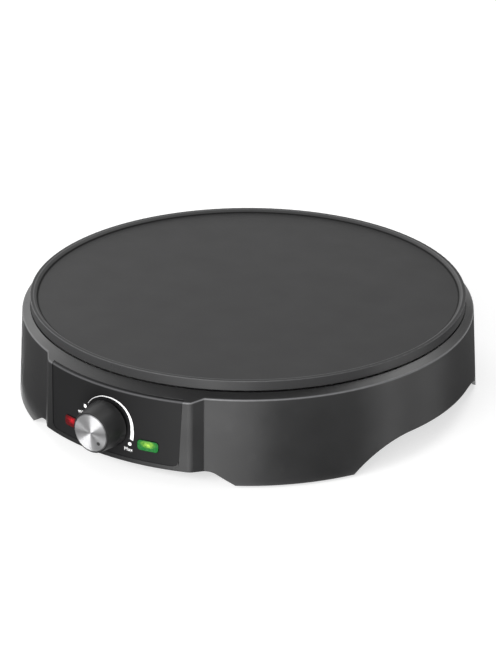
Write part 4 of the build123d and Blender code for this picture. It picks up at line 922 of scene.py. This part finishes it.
# ---------------------------------------------------------------- dial print
@dataclass
class DialPrint:
    """The printed arc that swells from Min to Max, its two dots and its two words."""

    panel: PanelFace
    centre_z: float = 33.8 * MM
    stations: tuple[Triple, ...] = ((-62.0, 19.1, 0.18), (-30.0, 18.4, 0.45), (0.0, 18.2, 0.7),
                                    (45.0, 18.9, 1.25), (90.0, 18.8, 2.1), (111.0, 19.8, 2.4))
    arc_steps: int = 120
    low: float = -0.02 * MM
    high: float = 0.05 * MM
    dots: tuple[tuple[str, float, float, float], ...] = (("min_dot", -71.7, 20.25, 1.25),
                                                         ("max_dot", 120.5, 20.1, 1.22))
    words: tuple[tuple[str, float, float, float, float], ...] = (("Min", -23.1, 1.2, 3.1, 22.0),
                                                                 ("Max", 16.3, -14.2, 3.5, 0.0))
    letter_spacing: float = 1.08
    ink: PrintInk = PrintInk("white_ink", (0.86, 0.86, 0.86))

    def printed(self, shape: bmesh.types.BMesh, name: str) -> bpy.types.Object:
        """Prints a flat figure on the panel."""
        self.panel.lay_on(shape, self.low, self.high)
        return finished(shape, name, self.ink)

    def stroke(self, clock: float) -> tuple[float, float]:
        """The arc's radius and width at one place.

        Args:
            clock: the place's angle, in degrees clockwise from the top.

        Returns:
            Radius and width, in metres.
        """
        for (start, *near), (end, *far) in zip(self.stations, self.stations[1:]):
            share = min(1.0, (clock - start) / (end - start))
            if clock <= end:
                break
        return tuple((a + (b - a) * share) * MM for a, b in zip(near, far))

    def arc(self) -> bpy.types.Object:
        """Spins the arc from one short edge, then tapers it.

        Returns:
            The piece.
        """
        shape = bmesh.new()
        start, end = (math.radians(self.stations[station][0]) for station in (0, -1))
        middle = self.stations[0][1] * MM
        ends = [shape.verts.new((reach * math.sin(start), 0.0, reach * math.cos(start)))
                for reach in (middle - MM, middle + MM)]
        edge = shape.edges.new(ends)
        bmesh.ops.spin(shape, geom=[*ends, edge], cent=ZEROS, axis=(0.0, 1.0, 0.0), angle=end - start,
                       steps=self.arc_steps)
        for corner in shape.verts:
            reach = Vector((corner.co.x, corner.co.z)).length
            radius, width = self.stroke(math.degrees(math.atan2(corner.co.x, corner.co.z)))
            corner.co *= (radius + math.copysign(width / 2, reach - middle)) / reach
            corner.co.z += self.centre_z
        return self.printed(shape, "dial_arc")

    def dot(self, name: str, clock: float, reach: float, radius: float) -> bpy.types.Object:
        """Makes one round dot.

        Args:
            name: the piece's name.
            clock: its angle, in degrees clockwise from the top.
            reach: its distance from the knob's axis, in millimetres.
            radius: its radius, in millimetres.

        Returns:
            The piece.
        """
        shape = bmesh.new()
        bmesh.ops.create_circle(shape, cap_ends=True, segments=28, radius=radius * MM,
                                matrix=Matrix.Rotation(QUARTER_TURN, 4, "X"))
        turn = math.radians(clock)
        bmesh.ops.translate(shape, verts=shape.verts, vec=(reach * MM * math.sin(turn), 0.0,
                                                           self.centre_z + reach * MM * math.cos(turn)))
        return self.printed(shape, name)

    def word(self, text: str, x: float, up: float, height: float, tilt: float) -> bpy.types.Object:
        """Sets one word on the panel.

        Args:
            text: the word.
            x: its middle across the panel, in millimetres from the knob.
            up: its middle above the knob's axis, in millimetres.
            height: its type size, in millimetres.
            tilt: its turn, in degrees anticlockwise.

        Returns:
            The piece.
        """
        type_curve = bpy.data.curves.new(text, "FONT")
        type_curve.body = text
        type_curve.size = height * MM
        type_curve.align_x = type_curve.align_y = "CENTER"
        type_curve.space_character = self.letter_spacing
        type_curve.resolution_u = 6
        holder = bpy.data.objects.new(text, type_curve)
        bpy.context.collection.objects.link(holder)
        bpy.context.view_layer.update()
        flat = bpy.data.meshes.new_from_object(holder)
        bpy.data.objects.remove(holder)
        shape = bmesh.new()
        shape.from_mesh(flat)
        bmesh.ops.remove_doubles(shape, verts=shape.verts, dist=0.001 * MM)
        bmesh.ops.transform(shape, matrix=Matrix.Translation((x * MM, 0.0, self.centre_z + up * MM))
                            @ Matrix.Rotation(math.radians(-tilt), 4, "Y")
                            @ Matrix.Rotation(QUARTER_TURN, 4, "X"), verts=shape.verts)
        return self.printed(shape, f"word_{text.lower()}")

    def build(self) -> None:
        """Prints the whole dial."""
        self.arc()
        for dot in self.dots:
            self.dot(*dot)
        for word in self.words:
            self.word(*word)


# ---------------------------------------------------------------- indicator lamps
@dataclass
class IndicatorLamps:
    """The two prismatic lenses, their holders and the neon lamps behind them."""

    panel: PanelFace
    angle: float = math.radians(10.8)
    height_z: float = 25.0 * MM
    width: float = 15.2 * MM
    height: float = 7.4 * MM
    corner: float = 2.4 * MM
    proud: float = 0.5 * MM
    back: float = 4.3 * MM
    facet: float = 0.16 * MM
    columns: int = 12
    rows: int = 6

    def prisms(self) -> bmesh.types.BMesh:
        """Makes a flat lens: a rounded plate whose face is cut into low pyramids.

        Returns:
            The lens, lying in x and y with its face up.
        """
        shape = bmesh.new()
        bmesh.ops.create_grid(shape, x_segments=self.columns, y_segments=self.rows, size=0.5)
        bmesh.ops.scale(shape, verts=shape.verts, vec=(self.width, self.height, 1.0))
        square_x, square_y = self.width / 2 - self.corner, self.height / 2 - self.corner
        for point in shape.verts:
            out = Vector((abs(point.co.x) - square_x, abs(point.co.y) - square_y))
            if min(out) > 0:
                pull = max(out) / out.length
                point.co.x = math.copysign(square_x + out.x * pull, point.co.x)
                point.co.y = math.copysign(square_y + out.y * pull, point.co.y)
        bmesh.ops.poke(shape, faces=shape.faces[:], offset=self.facet)
        rim = [edge for edge in shape.edges if edge.is_boundary]
        skirt = bmesh.ops.extrude_edge_only(shape, edges=rim)["geom"]
        low = [item for item in skirt if isinstance(item, bmesh.types.BMVert)]
        bmesh.ops.translate(shape, verts=low, vec=(0.0, 0.0, -self.back - self.proud))
        bmesh.ops.holes_fill(shape, edges=[edge for edge in shape.edges if edge.is_boundary], sides=0)
        bmesh.ops.recalc_face_normals(shape, faces=shape.faces[:])
        return shape

    def lens(self, name: str, side: int, finish: LensPlastic) -> bpy.types.Object:
        """Makes one lens and bends it to the panel.

        Args:
            name: the CAD node that it stands for.
            side: -1 on the left of the knob, 1 on the right.
            finish: its plastic.

        Returns:
            The piece.
        """
        shape = self.prisms()
        turn = side * self.angle
        along = Vector((math.cos(turn), math.sin(turn), 0.0))
        out = Vector((math.sin(turn), -math.cos(turn), 0.0))
        radius = self.panel.radius(self.height_z)
        middle = Vector((0.0, self.panel.axis_y, self.height_z)) + out * (radius + self.proud)
        for point in shape.verts:
            sag = point.co.x ** 2 / (2 * radius) + point.co.y * math.tan(self.panel.draft)
            point.co = (middle + along * point.co.x + Vector((0.0, 0.0, 1.0)) * point.co.y
                        + out * (point.co.z - sag))
        piece = finished(shape, f"{name}_prisms", finish)
        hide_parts(name)
        return piece

    def build(self) -> None:
        """Makes both lenses and dresses what is behind them."""
        reach = self.panel.foot_radius
        # Each lens: its dark colour, the colour of its painted glow and that glow's strength.
        for name, side, colour, painted_glow_colour, glow in (("red", -1, (0.06, 0.001, 0.002), (0.34, 0.004, 0.010), 0.12),
                                                ("green", 1, (0.006, 0.10, 0.016), (0.26, 0.46, 0.04), 0.20)):
            turn = side * self.angle
            middle = (reach * math.sin(turn), self.panel.axis_y - reach * math.cos(turn), self.height_z)
            finish = LensPlastic(f"{name}_prism_plastic", colour, painted_glow_colour, glow, middle, turn)
            self.lens(f"{name}_lens", side, finish)
        dress(MouldedPlastic("natural_holder_plastic", (0.74, 0.72, 0.66), 0.5), "lamp_holders")
        dress(LampGlass(), "neon_lamps")


# ---------------------------------------------------------------- thermostat and wiring
@dataclass
class Thermostat:
    """The screw-fed contact thermostat and its bracket."""

    def build(self) -> None:
        """Dresses the thermostat's pieces."""
        dress(WorkedMetal("zinc_strip", (0.62, 0.62, 0.60), (0.48, 0.46, 0.38), 0.36, Lay.ALONG_X),
              "thermostat_bracket", "bracket_screws", "bush_end_plate", "stack_rivet", "fuse_clip",
              "fuse_screw", "earth_screw")
        dress(WorkedMetal("plain_brass", (0.76, 0.60, 0.31), (0.48, 0.33, 0.14), 0.34, Lay.ALONG_Y),
              "thermostat_bush", "bush_nut", "blade_terminal")
        dress(WorkedMetal("spring_bronze", (0.72, 0.47, 0.27), (0.5, 0.3, 0.2), 0.3, Lay.ALONG_X),
              "moving_blade", "fixed_blade")
        dress(WorkedMetal("bimetal", (0.56, 0.53, 0.49), (0.42, 0.36, 0.30), 0.34, Lay.ALONG_X),
              "bimetal_strip")
        dress(Ceramic("steatite", (0.85, 0.83, 0.77)), "bimetal_rod", "stack_insulators")


@dataclass
class Wiring:
    """The thermal fuse, terminal block, leads and their fittings."""

    def build(self) -> None:
        """Dresses the wiring."""
        dress(WovenSleeve(), "thermal_fuse")
        dress(MouldedPlastic("terminal_white", (0.78, 0.77, 0.72), 0.42), "terminal_block")
        dress(WorkedMetal("sleeve_brass", (0.77, 0.62, 0.33), (0.5, 0.36, 0.17), 0.32, Lay.ALONG_Y),
              "terminal_sleeves", "earth_tag")
        dress(WorkedMetal("bright_zinc", (0.66, 0.66, 0.65), (0.5, 0.48, 0.4), 0.3), "terminal_screws",
              "crimp_sleeves")
        dress(SoftInsulation("live_brown", (0.20, 0.085, 0.035), 0.5), "live_lead")
        dress(SoftInsulation("neutral_blue", (0.045, 0.13, 0.42), 0.5), "neutral_lead")
        dress(SoftInsulation("earth_stripe", (0.06, 0.30, 0.07), 0.5, stripe=(0.72, 0.62, 0.05)),
              "earth_lead")
        dress(SoftInsulation("silicone_white", (0.72, 0.71, 0.67), 0.62), "switched_lead", "fuse_lead",
              "lamp_lead")


# ---------------------------------------------------------------- studio
@dataclass
class Studio:
    """The white floor, the dark cloths, the soft lamps, the world and the camera."""

    eye: Triple = (0.8254, -1.2054, 0.7065)
    target: Triple = (0.0, 0.0092, 0.0377)
    lens_mm: float = 125.62
    sensor_mm: float = 36.0
    nearest: float = 0.05
    ring_segments: int = 96
    screen_steps: int = 12
    floor_radius: float = 9.0
    floor_plain: float = 0.8
    floor_shade: float = 0.50
    floor_lift: float = 0.62
    cloth_shade: float = 0.16
    cloth_mm: float = 6.0
    world_level: float = 0.40

    def point(self, azimuth: float, elevation: float, distance: float) -> Vector:
        """A point round the object.

        Args:
            azimuth: degrees, 0 in front and 90 on the right.
            elevation: degrees above the target.
            distance: metres from the target.

        Returns:
            The point.
        """
        turn, rise = math.radians(azimuth), math.radians(elevation)
        away = Vector((math.sin(turn) * math.cos(rise), -math.cos(turn) * math.cos(rise), math.sin(rise)))
        return Vector(self.target) + away * distance

    def aimed(self, holder: bpy.types.Object, place: Vector) -> None:
        """Puts a lamp or a camera in its place, aimed at the object.

        Args:
            holder: the lamp or camera.
            place: where it goes.
        """
        holder.location = place
        holder.rotation_euler = (Vector(self.target) - place).to_track_quat("-Z", "Y").to_euler()
        bpy.context.collection.objects.link(holder)

    def show(self, board: NodeBoard, plain: bpy.types.Node, shown: bpy.types.Node, output: str) -> None:
        """Ends a board with two shaders: one that lights, and one that camera, gloss and glass see.

        Args:
            board: the board.
            plain: the shader that lights.
            shown: the shader that is seen.
            output: the output node's type name.
        """
        path = board.node("ShaderNodeLightPath").outputs
        seen = board.maths("MAXIMUM", path["Is Camera Ray"], path["Is Glossy Ray"])
        seen = board.maths("MAXIMUM", seen, path["Is Transmission Ray"])
        switch = board.node("ShaderNodeMixShader", {0: seen, 1: plain.outputs[0], 2: shown.outputs[0]})
        board.node(output, {"Surface": switch.outputs[0]})

    def staged(self, name: str, shape: bmesh.types.BMesh, paint: bpy.types.Material) -> bpy.types.Object:
        """Turns a shape into a stage piece that throws no shadow.

        Args:
            name: its name.
            shape: its mesh, which is freed.
            paint: its material.

        Returns:
            The stage piece.
        """
        piece = placed(shape, name, paint)
        piece.visible_shadow = False
        return piece

    def floor(self) -> bpy.types.Object:
        """Makes the round floor that keeps the soft shadow.

        Returns:
            The floor.
        """
        shape = bmesh.new()
        bmesh.ops.create_circle(shape, cap_ends=True, segments=self.ring_segments, radius=self.floor_radius)
        paint = bpy.data.materials.new("floor_white")
        paint.use_nodes = True
        board = NodeBoard(paint.node_tree)
        plain, shown = (board.node("ShaderNodeBsdfDiffuse", {"Color": (shade,) * 3})
                        for shade in (self.floor_plain, self.floor_shade))
        lift = board.node("ShaderNodeEmission", {"Strength": self.floor_lift})
        lifted = board.node("ShaderNodeAddShader", {0: shown.outputs[0], 1: lift.outputs[0]})
        self.show(board, plain, lifted, "ShaderNodeOutputMaterial")
        return self.staged("floor", shape, paint)

    def ring(self, name: str, height: float, inner: float, outer: float) -> bpy.types.Object:
        """Lays a level dark ring that only gloss sees, so that what mirrors it stays dark.

        Args:
            name: its name.
            height: metres above the floor.
            inner: its inner radius in metres.
            outer: its outer radius in metres.

        Returns:
            The ring.
        """
        shape = bmesh.new()
        for radius in (outer, inner):
            bmesh.ops.create_circle(shape, segments=self.ring_segments, radius=radius)
        bmesh.ops.bridge_loops(shape, edges=shape.edges[:])
        bmesh.ops.translate(shape, verts=shape.verts, vec=(0.0, self.target[1], height))
        return self.gloss_only(name, shape)

    def screen(self, name: str, azimuths: tuple[float, float], distance: float,
               heights: tuple[float, float]) -> bpy.types.Object:
        """Stands a dark upright arc that only gloss sees.

        Args:
            name: its name.
            azimuths: its ends, in degrees round the object, 0 in front and 90 on the right.
            distance: its radius in metres.
            heights: its lower and upper edge, in metres above the floor.

        Returns:
            The screen.
        """
        shape = bmesh.new()
        first, last = (math.radians(azimuth) for azimuth in azimuths)
        x, y = distance * math.sin(first), self.target[1] - distance * math.cos(first)
        end = [shape.verts.new((x, y, height)) for height in heights]
        bmesh.ops.spin(shape, geom=[*end, shape.edges.new(end)], cent=self.target, axis=(0.0, 0.0, 1.0),
                       angle=last - first, steps=self.screen_steps)
        return self.gloss_only(name, shape)

    def gloss_only(self, name: str, shape: bmesh.types.BMesh) -> bpy.types.Object:
        """Makes a dark cloth of a shape, hidden from everything but gloss.

        Args:
            name: its name.
            shape: the shape, which is freed.

        Returns:
            The cloth.
        """
        bmesh.ops.recalc_face_normals(shape, faces=shape.faces[:])
        weave = FinishBoard(f"{name}_cloth")
        dark, light = ((shade,) * 3 for shade in (self.cloth_shade, self.cloth_shade * 1.1))
        weave.set(Base_Color=weave.blend(weave.noise(self.cloth_mm), dark, light), Roughness=1.0,
                  Specular_IOR_Level=0.0)
        cloth = self.staged(name, shape, weave.material)
        cloth.visible_camera = cloth.visible_diffuse = cloth.visible_transmission = False
        return cloth

    def lamp(self, name: str, azimuth: float, elevation: float, distance: float, size: tuple[float, float],
             power: float, spared: tuple[str, ...] = ()) -> None:
        """Hangs a soft lamp that faces the object.

        Args:
            name: its name.
            azimuth: degrees round the object, 0 in front and 90 on the right.
            elevation: degrees above the target.
            distance: metres from the object.
            size: width and height in metres.
            power: watts.
            spared: the pieces that it is flagged off from.
        """
        light = bpy.data.lights.new(name, "AREA")
        light.shape = "RECTANGLE"
        light.size, light.size_y = size
        light.energy = power
        holder = bpy.data.objects.new(name, light)
        holder.visible_camera = False
        self.aimed(holder, self.point(azimuth, elevation, distance))
        if spared:
            flag = bpy.data.collections.new(f"{name}_flag")
            for piece in spared:
                flag.objects.link(bpy.data.objects[piece])
            holder.light_linking.receiver_collection = flag
            for entry in flag.collection_objects:
                entry.light_linking.link_state = "EXCLUDE"

    def sky(self) -> None:
        """Lights the room evenly and shows it white."""
        world = bpy.data.worlds.new("studio")
        world.use_nodes = True
        board = NodeBoard(world.node_tree)
        plain, shown = (board.node("ShaderNodeBackground", {"Color": ONES, "Strength": level})
                        for level in (self.world_level, 1.0))
        self.show(board, plain, shown, "ShaderNodeOutputWorld")
        bpy.context.scene.world = world

    def camera(self) -> None:
        """Places the camera."""
        body = bpy.data.cameras.new("camera")
        body.sensor_fit = "VERTICAL"
        body.sensor_height = self.sensor_mm
        body.lens = self.lens_mm
        body.clip_start = self.nearest
        bpy.context.scene.camera = bpy.data.objects.new("camera", body)
        self.aimed(bpy.context.scene.camera, Vector(self.eye))

    def build(self) -> None:
        """Sets the studio up."""
        self.floor()
        self.ring("dark_mat", height=0.3 * MM, inner=0.165, outer=0.45)
        self.ring("dark_ceiling", height=1.6, inner=0.02, outer=0.8)
        self.screen("dark_screen", azimuths=(170.0, 198.0), distance=1.4, heights=(0.25, 0.90))
        self.sky()
        self.lamp("front_softbox", -0.5, 30.0, 1.8, (2.2, 0.5), 32.0)
        self.lamp("table_lamp_front", 16.0, -17.0, 1.3, (0.60, 0.50), 12.0, ("knob_cap", "knob_body"))
        self.lamp("table_lamp_low", -4.0, -35.0, 1.3, (0.50, 0.42), 4.0)
        self.lamp("table_lamp_left", -127.0, -20.0, 1.3, (0.30, 0.40), 13.0)
        self.lamp("table_lamp_right", 115.0, -19.0, 1.3, (0.40, 0.45), 5.4)
        self.lamp("rear_right_softbox", 165.0, 55.0, 1.8, (0.8, 0.8), 8.5)
        self.lamp("rear_left_softbox", -112.0, 38.0, 1.8, (0.8, 1.2), 6.5)
        self.camera()
        bpy.context.scene.view_settings.view_transform = "Standard"


# ---------------------------------------------------------------- whole appliance
def main() -> None:
    """Builds every sub-assembly in order and sets up the studio."""
    logging.basicConfig(level=logging.INFO, format="%(message)s")
    panel = PanelFace()
    Housing(panel).build()
    HotPlate().build()
    Knob().build()
    DialPrint(panel).build()
    IndicatorLamps(panel).build()
    Thermostat().build()
    Wiring().build()
    Studio().build()


if __name__ == "__main__":
    main()
